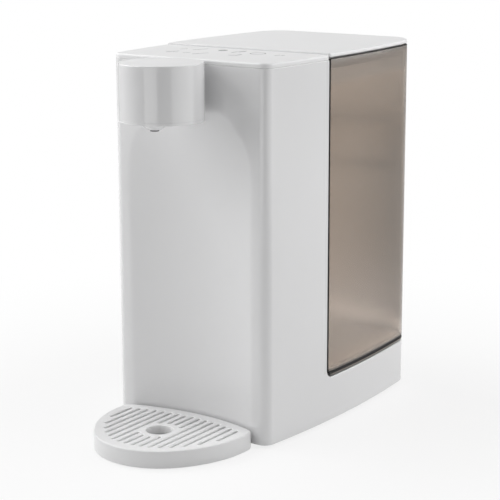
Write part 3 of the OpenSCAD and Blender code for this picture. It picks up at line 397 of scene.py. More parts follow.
class Skin:
    """Grids and flat faces of points, gathered and then welded into one mesh object."""

    def __init__(self):
        self.points, self.faces, self.flat, self.paints, self.count = [], [], [], [], 0

    def take(self, points):
        """Stores points and returns the index of the first."""
        points = np.asarray(points, float).reshape(-1, 3)
        first, self.count = self.count, self.count + len(points)
        self.points.append(points)
        return first

    def grid(self, points, closed=False, turn=False, keep=None, paint=0):
        """Quads over rows and columns of points; closed joins the last column to the first; paint picks a finish."""
        rows, cols = points.shape[:2]
        index = self.take(points) + np.arange(rows * cols).reshape(rows, cols)
        if closed:
            index = np.concatenate([index, index[:, :1]], 1)
        quads = np.stack([index[:-1, :-1], index[:-1, 1:], index[1:, 1:], index[1:, :-1]], -1)
        quads = quads[keep] if keep is not None else quads.reshape(-1, 4)
        self.faces += (quads[:, ::-1] if turn else quads).tolist()
        self.flat += [False] * len(quads)
        self.paints += [paint] * len(quads)

    def face(self, ring, turn=False, paint=0):
        """One flat face inside a ring of points."""
        first = self.take(ring)
        loop = list(range(first, self.count))
        self.faces.append(loop[::-1] if turn else loop)
        self.flat.append(True)
        self.paints.append(paint)

    def solid(self, rows, turn=False):
        """A closed grid over rings of points, with a flat face at each end."""
        self.grid(np.stack(rows), closed=True, turn=turn)
        self.face(rows[-1], turn=turn)
        self.face(rows[0], turn=not turn)

    def lathe(self, points, radii, bends, y, steps):
        """A profile with rounded corners, turned about the upright line at depth y in the middle."""
        self.grid(turned(rounded(points, radii, bends), 0, y, steps), closed=True)

    def plate(self, rings, z, outside, turn=False):
        """Flat triangles at height z inside the first ring, without those whose middle is outside the material."""
        sizes = [len(r) for r in rings]
        starts = np.cumsum([0] + sizes[:-1])
        edges = np.concatenate([np.stack([s + np.arange(n), s + (np.arange(n) + 1) % n], 1)
                                for s, n in zip(starts, sizes)])
        flat = np.concatenate(rings)
        out = delaunay_2d_cdt([Vector(p) for p in flat], edges.tolist(), [], 1, 1e-9)
        points, faces = np.array([tuple(p) for p in out[0]]), np.array(out[2])
        faces = faces[~outside(points[faces].mean(1))]
        first = self.take(lifted(points, z))
        self.faces += (first + (faces[:, ::-1] if turn else faces)).tolist()
        self.flat += [True] * len(faces)
        self.paints += [0] * len(faces)

    def build(self, name, body, slot, paints, nodes=()):
        """Welds the points, makes the object, hands it to its body and hides the solids it stands for; the slot is
        not used.
        """
        mesh = bpy.data.meshes.new(name)
        mesh.from_pydata(np.concatenate(self.points).tolist(), [], self.faces)
        mesh.polygons.foreach_set("use_smooth", np.logical_not(self.flat))
        mesh.polygons.foreach_set("material_index", self.paints)
        weld = bmesh.new()
        weld.from_mesh(mesh)
        bmesh.ops.remove_doubles(weld, verts=weld.verts, dist=2e-6)
        weld.to_mesh(mesh)
        weld.free()
        for paint in paints:
            mesh.materials.append(paint)
        piece = bpy.data.objects.new(name, mesh)
        bpy.context.scene.collection.objects.link(piece)
        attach(piece, body)
        if nodes:
            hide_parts(*nodes)
        return piece


class Term:
    """A socket in a shader expression: arithmetic on it adds Math nodes, with numbers on either side."""

    def __init__(self, paint, socket):
        self.paint, self.socket = paint, socket

    def __add__(self, other):
        return self.paint.maths("ADD", self, other)

    def __radd__(self, other):
        return self.paint.maths("ADD", other, self)

    def __sub__(self, other):
        return self.paint.maths("SUBTRACT", self, other)

    def __rsub__(self, other):
        return self.paint.maths("SUBTRACT", other, self)

    def __mul__(self, other):
        return self.paint.maths("MULTIPLY", self, other)

    def __rmul__(self, other):
        return self.paint.maths("MULTIPLY", other, self)


class Paint:
    """The node tree of a material or the world, and the one method that adds a node to it."""

    def __init__(self, owner, kind, output):
        owner.use_nodes = True
        self.owner, self.tree = owner, owner.node_tree
        self.tree.nodes.clear()
        self.output = self.tree.nodes.new(output)
        self.shader = self.tree.nodes.new(kind)
        self.show(Term(self, self.shader.outputs[0]))

    def node(self, kind, settings=None, inputs=None, out=0):
        """Adds a node: its settings first, then values or links of its sockets; returns one of its outputs."""
        made = self.tree.nodes.new(kind)
        for key, value in (settings or {}).items():
            if key == "stops":
                ramp = made.color_ramp.elements
                for stop, (place, level) in zip([ramp[0], ramp[1]], value):
                    stop.position, stop.color = place, (level, level, level, 1)
            else:
                setattr(made, key, value)
        for key, value in (inputs or {}).items():
            self.link(made.inputs[key], value)
        return Term(self, made.outputs[out])

    def link(self, socket, value):
        """Links a term to a socket, or sets the socket's own value."""
        if isinstance(value, Term):
            self.tree.links.new(value.socket, socket)
        elif socket.type == "RGBA" and len(value) == 3:
            socket.default_value = (*value, 1)
        else:
            socket.default_value = value

    def set(self, **values):
        """Sets or links sockets of the main shader; words in a name are joined by underscores."""
        for key, value in values.items():
            self.link(self.shader.inputs[key.replace("_", " ")], value)

    def show(self, term):
        """Puts a shader on the surface output."""
        self.tree.links.new(term.socket, self.output.inputs["Surface"])

    def place(self):
        """Object coordinates."""
        return self.node("ShaderNodeTexCoord", out=3)

    def noise(self, scale, detail=2.0):
        """Noise from 0 to 1, its scale in waves a metre."""
        return self.node("ShaderNodeTexNoise", None,
                         {"Vector": self.place(), "Scale": scale, "Detail": detail, "Roughness": 0.55})

    def mixed(self, amount, a, b):
        """Colour between a and b by an amount from 0 to 1."""
        return self.node("ShaderNodeMix", {"data_type": "RGBA"}, {0: amount, 6: a, 7: b}, out=2)

    def bumped(self, height, depth):
        """Normal from a height of 0 to 1 that stands for a depth in metres."""
        return self.node("ShaderNodeBump", None, {"Height": height, "Distance": depth})

    def maths(self, operation, a, b=0.0):
        """One Math node on terms or numbers."""
        return self.node("ShaderNodeMath", {"operation": operation}, {0: a, 1: b})

    def more(self, a, b):
        """The larger of two terms."""
        return self.maths("MAXIMUM", a, b)

    def ramp(self, value, start, end, low=0.0, high=1.0):
        """The low level below start, the high one above end, smooth between them."""
        return self.node("ShaderNodeMapRange", {"interpolation_type": "SMOOTHSTEP"},
                         {0: value, 1: start, 2: end, 3: low, 4: high})

    def rays(self, *kinds):
        """1 for rays of these kinds and 0 for all others."""
        flags = self.tree.nodes.new("ShaderNodeLightPath").outputs
        total = Term(self, flags[f"Is {kinds[0]} Ray"])
        for kind in kinds[1:]:
            total = total + Term(self, flags[f"Is {kind} Ray"])
        return total


def shaded(tint, factor):
    """A colour times a number."""
    return tuple(min(1.0, c * factor) for c in tint)


def new_paint(name):
    """A fresh material with one Principled shader."""
    return Paint(bpy.data.materials.new(name), "ShaderNodeBsdfPrincipled", "ShaderNodeOutputMaterial")


def moulded(name, tint, rough, grain, gloss=0.5):
    """Moulded plastic: a fine spark-eroded grain, slow cloudiness in colour and a little uneven gloss."""
    paint = new_paint(name)
    cloud = paint.noise(14.0, 3.0)
    fine = paint.noise(2600.0, 2.0)
    paint.set(Base_Color=paint.mixed(cloud, shaded(tint, 0.98), shaded(tint, 1.02)),
              Roughness=rough - 0.05 + 0.06 * cloud + 0.04 * fine,
              Normal=paint.bumped(fine, grain), IOR=1.49, Specular_IOR_Level=gloss)
    return paint.owner


def smoked(name, tint, size):
    """Smoke-tinted clear plastic with a satin face and some haze; painted shade darkens its edges at the gaps, and
    painted light and shade grade the wall.
    """
    paint = new_paint(name)
    cloud = paint.noise(9.0, 2.0)
    wave = paint.noise(55.0, 2.0)
    fine = paint.noise(2200.0, 1.0)
    spot = paint.node("ShaderNodeSeparateXYZ", None, {0: paint.place()}).socket.node.outputs
    x, y, z = (Term(paint, spot[k]) for k in range(3))
    ramp, more = paint.ramp, paint.more
    # painted shade: the lower front edge, the groove above the flange, the flange and the rim are painted dark, for
    # the shade in the gaps to the column, the deck and the lid
    flange = size.low + size.flange
    ledge = flange + size.groove
    dy, dz = more(size.front + size.heel - y, 0.0), more(size.low + size.heel - z, 0.0)
    inset = size.heel - paint.maths("SQRT", dy * dy + dz * dz)
    wide = ramp(paint.maths("ABSOLUTE", x), 0.070, 0.0715)
    near = wide * (1 - ramp(inset, 0.0010, 0.0012))
    low = 1 - ramp(z, ledge + 0.0008, ledge + 0.001)
    high = ramp(z, size.rim - 0.0007, size.rim - 0.0005)
    lip = 1 - ramp(z, flange - 0.0003, flange - 0.0001)
    # painted shade: the mask where the finish becomes an opaque dark sheet
    dark = more(more(near, low), high)
    # painted light and shade: the wall is painted darker and warmer towards the rear, lighter lower down and paler
    # near the white deck
    rear_shade = ramp(y, size.front, size.front + 0.13) * (1 - 0.6 * ramp(z, 0.20, 0.26))
    pale = 1 - ramp(z, 0.055, 0.135)
    base = 1 - ramp(z, 0.042, 0.062)
    rear_shade_tint, deck_light_tint = (0.62, 0.56, 0.49), (1.66, 1.74, 1.84)
    cloudy = paint.mixed(cloud, shaded(tint, 0.96), shaded(tint, 1.04))
    # painted light: lit is the tint brightened, most of all below 0.20 m
    lit = paint.mixed(ramp(z, 0.20, 0.25), shaded(tint, 1.54), shaded(tint, 1.2))
    clear = paint.mixed(rear_shade, lit, [t * w for t, w in zip(tint, rear_shade_tint)])
    clear = paint.mixed(pale * (1 - 0.75 * rear_shade), clear, [t * c for t, c in zip(tint, deck_light_tint)])
    # painted light: just above the deck the wall is painted nearly clear
    clear = paint.mixed(base, clear, shaded(tint, 1.9))
    clear = paint.mixed(0.2, clear, cloudy)
    # painted shade: near black in the groove, at the rim and along the front edge, half-bright smoke on the flange
    edge = paint.mixed(lip, (0.008, 0.007, 0.006), shaded(tint, 0.5))
    haze = 0.02 + 0.3 * ramp(z, 0.256, 0.264) + 0.3 * (1 - ramp(z, 0.0425, 0.046))
    paint.set(Base_Color=clear, Roughness=0.20 + 0.04 * cloud + 0.03 * fine,
              Normal=paint.bumped(wave, 0.00004), IOR=1.45, Transmission_Weight=1.0)
    # painted shade: where the dark mask is on, the clear plastic becomes an opaque sheet of the edge colour; this
    # milky part is also painted paler near the deck
    milky = paint.node("ShaderNodeBsdfPrincipled", None, {
        "Base Color": paint.mixed(dark, paint.mixed(base, shaded(tint, 0.9), shaded(tint, 1.05)), edge),
        "Roughness": 0.35, "Specular IOR Level": 0.2})
    paint.show(paint.node("ShaderNodeMixShader", None, {
        0: more(dark, haze), 1: Term(paint, paint.shader.outputs[0]), 2: milky}))
    return paint.owner


def rubbery(name, tint):
    """Soft rubber: dull, with a fine pitted face and a dusty bloom."""
    paint = new_paint(name)
    bloom = paint.noise(60.0, 4.0)
    pits = paint.noise(1900.0, 3.0)
    paint.set(Base_Color=paint.mixed(bloom, tint, shaded(tint, 1.8)), Roughness=0.72 + 0.14 * bloom,
              Normal=paint.bumped(pits, 0.00004), IOR=1.52)
    return paint.owner


def silicone(name, tint):
    """Milky silicone: translucent, smooth, with faint flow lines."""
    paint = new_paint(name)
    flow = paint.noise(120.0, 3.0)
    paint.set(Base_Color=paint.mixed(flow, shaded(tint, 0.94), tint), Roughness=0.34 + 0.1 * flow,
              Normal=paint.bumped(flow, 0.00003), IOR=1.41, Transmission_Weight=0.2)
    return paint.owner


def metallic(name, tint, rough, brush):
    """Metal with fine brushing along its length and some dull patches."""
    paint = new_paint(name)
    lines = paint.node("ShaderNodeTexNoise", None, {
        "Vector": paint.node("ShaderNodeMapping", None, {"Vector": paint.place(), "Scale": brush}),
        "Scale": 1.0, "Detail": 3.0})
    dull = paint.noise(40.0, 3.0)
    paint.set(Base_Color=paint.mixed(dull, shaded(tint, 0.88), tint), Metallic=1.0,
              Roughness=rough + 0.12 * dull + 0.08 * lines, Normal=paint.bumped(lines, 0.00002))
    return paint.owner


def lacquered(name, tint):
    """Circuit board: green lacquer with copper runs that show through as a lighter pattern."""
    paint = new_paint(name)
    runs = paint.node("ShaderNodeTexVoronoi", {"distance": "CHEBYCHEV", "feature": "DISTANCE_TO_EDGE"},
                      {"Vector": paint.place(), "Scale": 160.0})
    lines = paint.node("ShaderNodeValToRGB", {"stops": ((0.03, 0.0), (0.07, 1.0))}, {0: runs})
    paint.set(Base_Color=paint.mixed(lines, shaded(tint, 2.2), tint), Roughness=0.3 + 0.15 * lines,
              Normal=paint.bumped(lines, 0.00003), Coat_Weight=0.4)
    return paint.owner


def hollow_radius(body):
    """Radius of the hollow of the front face: (w^2 / 4 + t^2) / 2t for width w and depth t."""
    return (body.hollow_width ** 2 / 4 + body.hollow_depth ** 2) / (2 * body.hollow_depth)


def hollow_depth(body, x, z):
    """Depth of the hollow at a place on the front face.

    A drum with a domed top gives g = sqrt(R^2 - x^2 - max(0, z - arch)^2) - R + t; its edge is softened as
    (g + sqrt(g^2 + s^2)) / 2, and it fades out towards the corners of the column.
    """
    radius = hollow_radius(body)
    g = np.sqrt(radius ** 2 - x ** 2 - np.maximum(0, z - body.hollow_arch) ** 2) - radius + body.hollow_depth
    margin, soft = 8 * MM, 4 * MM
    fade = step((body.width / 2 - body.front_radius - margin - np.abs(x)) / soft)
    return fade * (g + np.sqrt(g ** 2 + body.hollow_soft ** 2)) / 2


def deck_height(body, y):
    """Height of the deck: flat, with a quarter round of radius r up to the column at its front."""
    r = body.bay
    gap = np.clip(y - (body.front + body.column), 0, r)
    return body.deck + r - np.sqrt(np.maximum(r ** 2 - (gap - r) ** 2, 0))


def housing_skin(body):
    """The column's wall with its hollow, the base's wall with the cord hole, and the deck with the dock hole."""
    plan, skin = BodyPlan(body), Skin()
    seam_y, edge, foot_edge = body.front + body.column, body.deck_edge, 0.8 * MM
    low = body.foot + foot_edge
    gland_x, gland_z = (gland_low.x + gland_high.x) / 2, (gland_low.z + gland_high.z) / 2
    reach, cells = 9.5 * MM, 8  # half side and cells of the square patch round the cord hole
    x0, y0 = plan.corner(body.front, body.front_radius, 0, -1)
    x1, y1 = plan.corner(body.rear, body.rear_radius, 0, 1)
    a0, a1 = plan.lean(y0), plan.lean(y1)

    def front_path(inset):
        r = body.front_radius - inset
        half = np.concatenate([
            np.stack([np.linspace(0, x0, 72, endpoint=False), np.full(72, body.front + inset)], -1),
            arc(x0, y0, r, -math.pi / 2, a0, 14),
            plan.flank(np.linspace(y0 + body.front_radius * math.sin(a0), seam_y, 14)[1:], inset)])
        return np.concatenate([half[:0:-1] * [-1, 1], half])

    def rear_path(inset):
        r = body.rear_radius - inset
        near = seam_y + body.bay * (1 - np.cos(np.linspace(0, math.pi / 2, 9)))
        away = np.linspace(seam_y + body.bay, y1 + body.rear_radius * math.sin(a1), 18)[1:-1]
        across = np.concatenate([np.linspace(x1, gland_x + reach, 4)[1:],
                                 np.linspace(gland_x + reach, gland_x - reach, cells + 1)[1:],
                                 np.linspace(gland_x - reach, 0, 8)[1:]])
        half = np.concatenate([plan.flank(np.concatenate([near, away]), inset), arc(x1, y1, r, a1, math.pi / 2, 18),
                               np.stack([across, np.full(len(across), body.rear - inset)], -1)])
        return np.concatenate([half, half[-2::-1] * [-1, 1]])

    def wall(path, heights, top, top_edge):
        """Rows of a wall from its rounded foot to its rounded upper edge."""
        rows = [lifted(path(i), body.foot + d) for i, d in foot_rows[:-1]]
        rows += [lifted(path(0), z) for z in heights]
        return np.stack(rows + [lifted(path(i), top - d) for i, d in quarter(top_edge, 4)[1:]])

    foot_rows = quarter(foot_edge, 3)[::-1]
    levels = np.concatenate([[low, 6.5 * MM], np.linspace(gland_z - reach, gland_z + reach, cells + 1),
                             [32.5 * MM, body.deck - edge]])
    share = (levels - low) / (body.deck - edge - low)

    heel, shoulder = body.deck + body.bay, body.rim - body.small_edge
    arch, crown = 0.18, 0.258  # the arch of the hollow lies between these heights, in close rows
    climb = np.concatenate([low + share * (heel - edge - low), [heel], np.linspace(heel, arch, 14)[1:],
                            np.linspace(arch, crown, 53)[1:], [0.262, 0.268, 0.273, shoulder - BESIDE, shoulder]])
    column = wall(front_path, climb, body.rim, body.small_edge)
    facing = column[..., 1] < body.front + body.front_radius * 0.5
    column[..., 1] += np.where(facing, hollow_depth(body, column[..., 0], column[..., 2]), 0)
    skin.grid(column)

    crest = deck_height(body, rear_path(0)[:, 1]) - edge
    base = wall(rear_path, [low + t * (crest - low) for t in share], crest + edge, edge)
    rows, cols = base.shape[:2]
    first = len(foot_rows) + 1  # the row where the patch round the cord hole begins
    behind = np.abs(base[first, :, 1] - body.rear) < 1e-7
    inside = np.nonzero(behind & (np.abs(base[first, :, 0] - gland_x) < reach + 1e-6))[0]
    keep = np.ones((rows - 1, cols - 1), bool)
    keep[first:first + cells, inside[0]:inside[-1]] = False
    skin.grid(base, keep=keep)
    window = base[first:first + cells + 1, inside[0]:inside[-1] + 1]
    frame_ring = np.concatenate([window[0, :-1], window[:-1, -1], window[-1, :0:-1], window[:0:-1, 0]])
    angle = np.arctan2(frame_ring[:, 2] - gland_z, frame_ring[:, 0] - gland_x)
    bore = body.gland_hole
    hole = np.stack([gland_x + bore * np.cos(angle), frame_ring[:, 1], gland_z + bore * np.sin(angle)], -1)
    skin.grid(patch(frame_ring, hole, 1.0, 8), closed=True)

    lip = base[-1, -1] + np.linspace(0, 1, 42)[1:-1, None] * (base[-1, 0] - base[-1, -1])
    ring = np.concatenate([base[-1], lip])
    dock_y, dock_r = body.rear - body.dock, body.dock_hole
    angle = np.arctan2(ring[:, 1] - dock_y, ring[:, 0])
    hole = np.stack([dock_r * np.cos(angle), dock_y + dock_r * np.sin(angle), np.full(len(ring), body.deck)], -1)
    deck = patch(ring, hole, 2.0, 22)
    deck[1:, :, 2] = deck_height(body, deck[1:, :, 1])
    skin.grid(deck, closed=True)
    return skin


class DISPENSER_OT_housing(bpy.types.Operator):
    """Shell of the column and the base, with a wall thickness"""

    bl_idname = "dispenser.housing"
    bl_label = "Housing"

    def execute(self, context):
        body, tints = groups_on(context.scene, "body", "colours")
        paint = moulded("shell_white", tints.shell, 0.22, 0.000005, gloss=1.0)
        piece = housing_skin(body).build("housing_shell", "body", "shell", [paint], ["housing"])
        wall = piece.modifiers.new("wall", "SOLIDIFY")
        wall.thickness, wall.offset = body.wall, -1
        return {"FINISHED"}


class DISPENSER_OT_cover(bpy.types.Operator):
    """Top cover of the column and its printed symbols"""

    bl_idname = "dispenser.cover"
    bl_label = "Top cover"

    def execute(self, context):
        body, tints = groups_on(context.scene, "body", "colours")
        plan, skin = BodyPlan(body), Skin()
        rear, corner = body.front + body.column - 0.2 * MM, 1.2 * MM

        def ring(inset, z):
            return lifted(plan.ring(body.front, rear, body.front_radius, corner, inset, inset, inset * 0.25,
                                    (24, 14, 24, 5)), z)

        rows = [ring(body.wall, body.rim + SEAM)]
        rows += [ring(i, body.rim + SEAM + d) for i, d in quarter(body.small_edge, 3)[::-1]]
        rows += [ring(0, body.rim + body.small_edge + BESIDE), ring(0, body.top - body.cover_edge - BESIDE)]
        rows += [ring(i, body.top - d) for i, d in quarter(body.cover_edge, 9)]
        skin.solid(rows)
        paint = moulded("cover_white", tints.cover, 0.34, 0.000005, gloss=0.6)
        skin.build("column_cover", "body", "shell", [paint], ["top_cover"])

        marks = Skin()
        high, low = body.top + 0.04 * MM, body.top - 0.2 * MM
        strokes = ((-42, -34, -32, -32.5, 0.5), (-38, -39, -36, -26, 0.5), (-42.1, -16, -40, -10.1, 0.6),
                   (-25.2, -35.6, -21.8, -31.7, 0.7), (-31, -15, -26, -3.7, 0.8), (-14.1, -38.7, -8.6, -27.5, 0.9),
                   (-10.6, -7.4, -9, -5.4, 4.6), (4.2, -14.9, 4.9, -9.3, 1.2), (6.9, -9.7, 8, -2.1, 1.5),
                   (13.8, -32.3, 16.8, -30.4, 1.3), (18.5, -30.9, 18.7, -24.2, 1.2), (43.2, -16.6, 44.8, -12.3, 0.8),
                   (47.2, -14, 47.5, -10.5, 0.8))
        for x0, y0, x1, y1, wide in strokes:
            bar = capsule((x0 * MM, y0 * MM), (x1 * MM, y1 * MM), wide * MM)
            marks.solid([lifted(bar, low), lifted(bar, high)])
        outer, inner = 5.9 * MM, 5.3 * MM
        marks.grid(turned([(outer, low), (outer, high), (inner, high), (inner, low), (outer, low)],
                          24.8 * MM, -11.2 * MM, 64), closed=True)
        marks.build("cover_symbols", "body", "dark_plastic", [moulded("symbol_ink", tints.ink, 0.45, 0.000003)])
        return {"FINISHED"}


class DISPENSER_OT_nozzle(bpy.types.Operator):
    """Round nozzle head with its neck, its bottom cap and the spout"""

    bl_idname = "dispenser.nozzle"
    bl_label = "Nozzle"

    def execute(self, context):
        size, body, tints = groups_on(context.scene, "nozzle", "body", "colours")
        r, joint, fine, beside = size.radius, size.low + size.seam, 0.1 * MM, 0.4 * MM
        seam = joint + SEAM
        head = Skin()
        line = rounded([(0, seam), (r, seam), (r, body.top), (0, body.top)], [fine, size.edge], 8)
        middle = int(np.argmax(line[:, 1] > (seam + body.top) / 2))
        line = np.insert(line, middle, [(r, seam + beside), (r, body.top - size.edge - beside)], 0)
        head.grid(turned(line[:-3], 0, size.axis, 160), closed=True)
        head.grid(turned(line[-4:], 0, size.axis, 160), closed=True, paint=1)
        half, low, high = size.neck / 2, size.neck_low, size.neck_high
        neck = mirrored(rounded([(0, low), (half, low), (half, high), (0, high)], 2 * MM, 5))
        head.solid([np.stack([neck[:, 0], np.full(len(neck), y), neck[:, 1]], -1)
                    for y in (size.axis + r * 0.5, body.front + 12 * MM)], turn=True)
        paint = moulded("nozzle_white", tints.shell, 0.13, 0.000003, gloss=1.0)
        disc = moulded("disc_white", tints.cover, 0.34, 0.000004, gloss=0.6)
        head.build("nozzle_head", "body", "shell", [paint, disc], ["nozzle_shell"])

        cap = Skin()
        cap.lathe([(0, size.low), (r, size.low), (r, joint), (0, joint)], [0.4 * MM, fine], 5, size.axis, 160)
        cap.build("nozzle_cap", "body", "shell", [paint], ["nozzle_base"])

        tip, high = Skin(), size.low - fine
        low, wide, thin, outlet = size.spout_low, size.spout_radius, size.outlet_radius, size.outlet
        roof, sole, foot, top = low + 4.8 * MM, low + MM, high - 1.6 * MM, low + 4 * MM
        tip.lathe([(0, roof), (outlet, roof), (outlet, sole), (thin, sole), (wide, foot),
                   (size.skirt, high), (0, high)],
                  [0.2 * MM, 0.2 * MM, 0.8 * MM, 1.5 * MM, 0.2 * MM], 5, size.spout, 72)
        tip.build("spout_cone", "body", "white_plastic", [paint], ["spout_tip"])
        bush, crown = Skin(), top + 0.5 * MM
        bush.lathe([(0, top), (2 * MM, top), (2.5 * MM, low), (outlet, low), (outlet, crown), (0, crown)],
                   [0.3 * MM, 0.3 * MM, 0.4 * MM, 0.2 * MM], 4, size.spout, 48)
        # partly painted shade: the bush is dark plastic, painted still darker and dull so that the outlet reads as a
        # shaded hole
        black = moulded("spout_black", shaded(tints.dark, 0.4), 0.6, 0.000004, gloss=0.1)
        bush.build("spout_bush", "body", "dark_plastic", [black], ["spout_tip"])
        return {"FINISHED"}


class DISPENSER_OT_tank(bpy.types.Operator):
    """Smoked tank with its wall thickness, its grip pocket and its rest pads"""

    bl_idname = "dispenser.tank"
    bl_label = "Water tank"

    def execute(self, context):
        size, body, tints = groups_on(context.scene, "tank", "body", "colours")
        plan, skin = BodyPlan(body), Skin()
        pocket = (size.grip_width / 2, size.grip_low, size.grip_high)

        def level(inset, z, inner):
            """One ring of the wall; the pocket pushes the rear in by its depth times a soft box mask."""
            ring = lifted(plan.ring(size.front, body.rear, TANK_CORNER, body.rear_radius, inset, inset, inset,
                                    (22, 5, 64, 26)), z)
            grow = size.wall if inner else 0
            x, low, high = pocket[0] + grow, pocket[1] - grow, pocket[2] + grow
            blur = 1.6 * MM
            mask = step((x - np.abs(ring[:, 0])) / blur) * step((z - low) / blur) * step((high - z) / blur)
            ring[:, 1] -= np.where(ring[:, 1] > body.rear - body.rear_radius, mask * size.grip_depth, 0)
            return ring

        def heeled(rings):
            """Rounds the lower front edge: inside a square of side r the larger of two offsets becomes a radius."""
            points = np.stack(rings)
            r = size.heel
            off = points[..., 1:] - [size.front + r, size.low + r]
            near = (off < 0).all(-1)
            scale = np.abs(off).max(-1) / np.maximum(np.linalg.norm(off, axis=-1), 1e-9)
            points[..., 1:] = np.where(near[..., None], [size.front + r, size.low + r] + off * scale[..., None],
                                       points[..., 1:])
            return points

        soft = np.linspace(-4.2, 1.8, 11) * MM  # close rows over the soft edges of the pocket
        heights = np.concatenate([np.linspace(size.floor + 0.0009, 0.047, 8), np.linspace(0.047, 0.172, 12)[1:],
                                  pocket[1] + soft, np.linspace(0.184, 0.211, 6), pocket[2] - soft[::-1],
                                  np.linspace(0.224, 0.272, 5)])
        flange, groove, e = size.low + size.flange, size.low + size.flange + size.groove, size.edge
        rim_edge, ledge_edge, deep = 0.4 * MM, 0.6 * MM, size.groove_depth
        outer = [level(i, size.low + d, False) for i, d in quarter(e, 3)[::-1]]
        outer += [level(i, flange - d, False) for i, d in quarter(e, 3)]
        outer += [level(deep, flange, False), level(deep, groove, False)]
        outer += [level(i, groove + d, False) for i, d in quarter(ledge_edge, 4)[::-1]]
        outer += [level(0, z, False) for z in heights]
        outer += [level(i, size.rim - d, False) for i, d in quarter(rim_edge, 2)]
        inner = [level(size.wall - i, size.rim - d, True) for i, d in quarter(rim_edge, 2)[::-1]]
        inner += [level(size.wall, z, True) for z in heights[::-1]]
        inner += [level(size.wall + MM, size.floor, True)]
        points = heeled(outer + inner)
        skin.grid(points, closed=True)
        skin.face(points[-1], paint=1)
        skin.face(points[0], turn=True)
        half, wide = 6 * MM, 5 * MM
        pads = [(s * size.pad_x, y) for s in (-1, 1) for y in (size.front + 11 * MM, body.rear - 31 * MM)]
        for x, y in pads:
            foot = capsule((x - half, y), (x + half, y), wide)
            skin.solid([lifted(foot, size.pad_low), lifted(foot, size.low + 0.2 * MM)])
        # painted light: the floor face takes the pale tank_floor colour in place of the white deck seen through it
        paints = [smoked("tank_smoke", tints.tank, size),
                  moulded("tank_floor", tints.tank_floor, 0.35, 0.000004, gloss=0.3)]
        skin.build("tank_shell", "tank", "tank", paints, ["water_tank"])
        return {"FINISHED"}


class DISPENSER_OT_lid(bpy.types.Operator):
    """Lid of the tank with a rounded upper edge and the plug below it"""

    bl_idname = "dispenser.lid"
    bl_label = "Tank lid"

    def execute(self, context):
        size, body, tints = groups_on(context.scene, "tank", "body", "colours")
        plan, skin = BodyPlan(body), Skin()

        def ring(inset, z, front=0.25):
            return lifted(plan.ring(size.front, body.rear, TANK_CORNER, body.rear_radius, inset, inset * front, inset,
                                    (18, 5, 34, 18)), z)

        under, core = size.lid_low + 2 * MM, size.wall + 1.5 * MM
        rows = [ring(body.wall, under, 1), ring(body.wall, size.lid_low + 0.2 * MM, 1)]
        rows += [ring(i, size.lid_low + d) for i, d in quarter(body.small_edge, 3)[::-1]]
        rows += [ring(0, size.lid_low + body.small_edge + BESIDE), ring(0, size.lid_high - body.cover_edge - BESIDE)]
        rows += [ring(i, size.lid_high - d) for i, d in quarter(body.cover_edge, 9)]
        skin.solid(rows)
        low, high, thick, e = size.plug_low, under + 0.5 * MM, 2 * MM, 0.4 * MM
        plug = ((thick, high), (thick, low + e), (thick - e, low), (e, low), (0, low + e), (0, high), (thick, high))
        skin.grid(np.stack([ring(core + i, z, 1) for i, z in plug]), closed=True)
        paint = moulded("lid_white", tints.cover, 0.34, 0.000005, gloss=0.6)
        skin.build("lid_cap", "lid", "shell", [paint], ["tank_lid"])
        return {"FINISHED"}


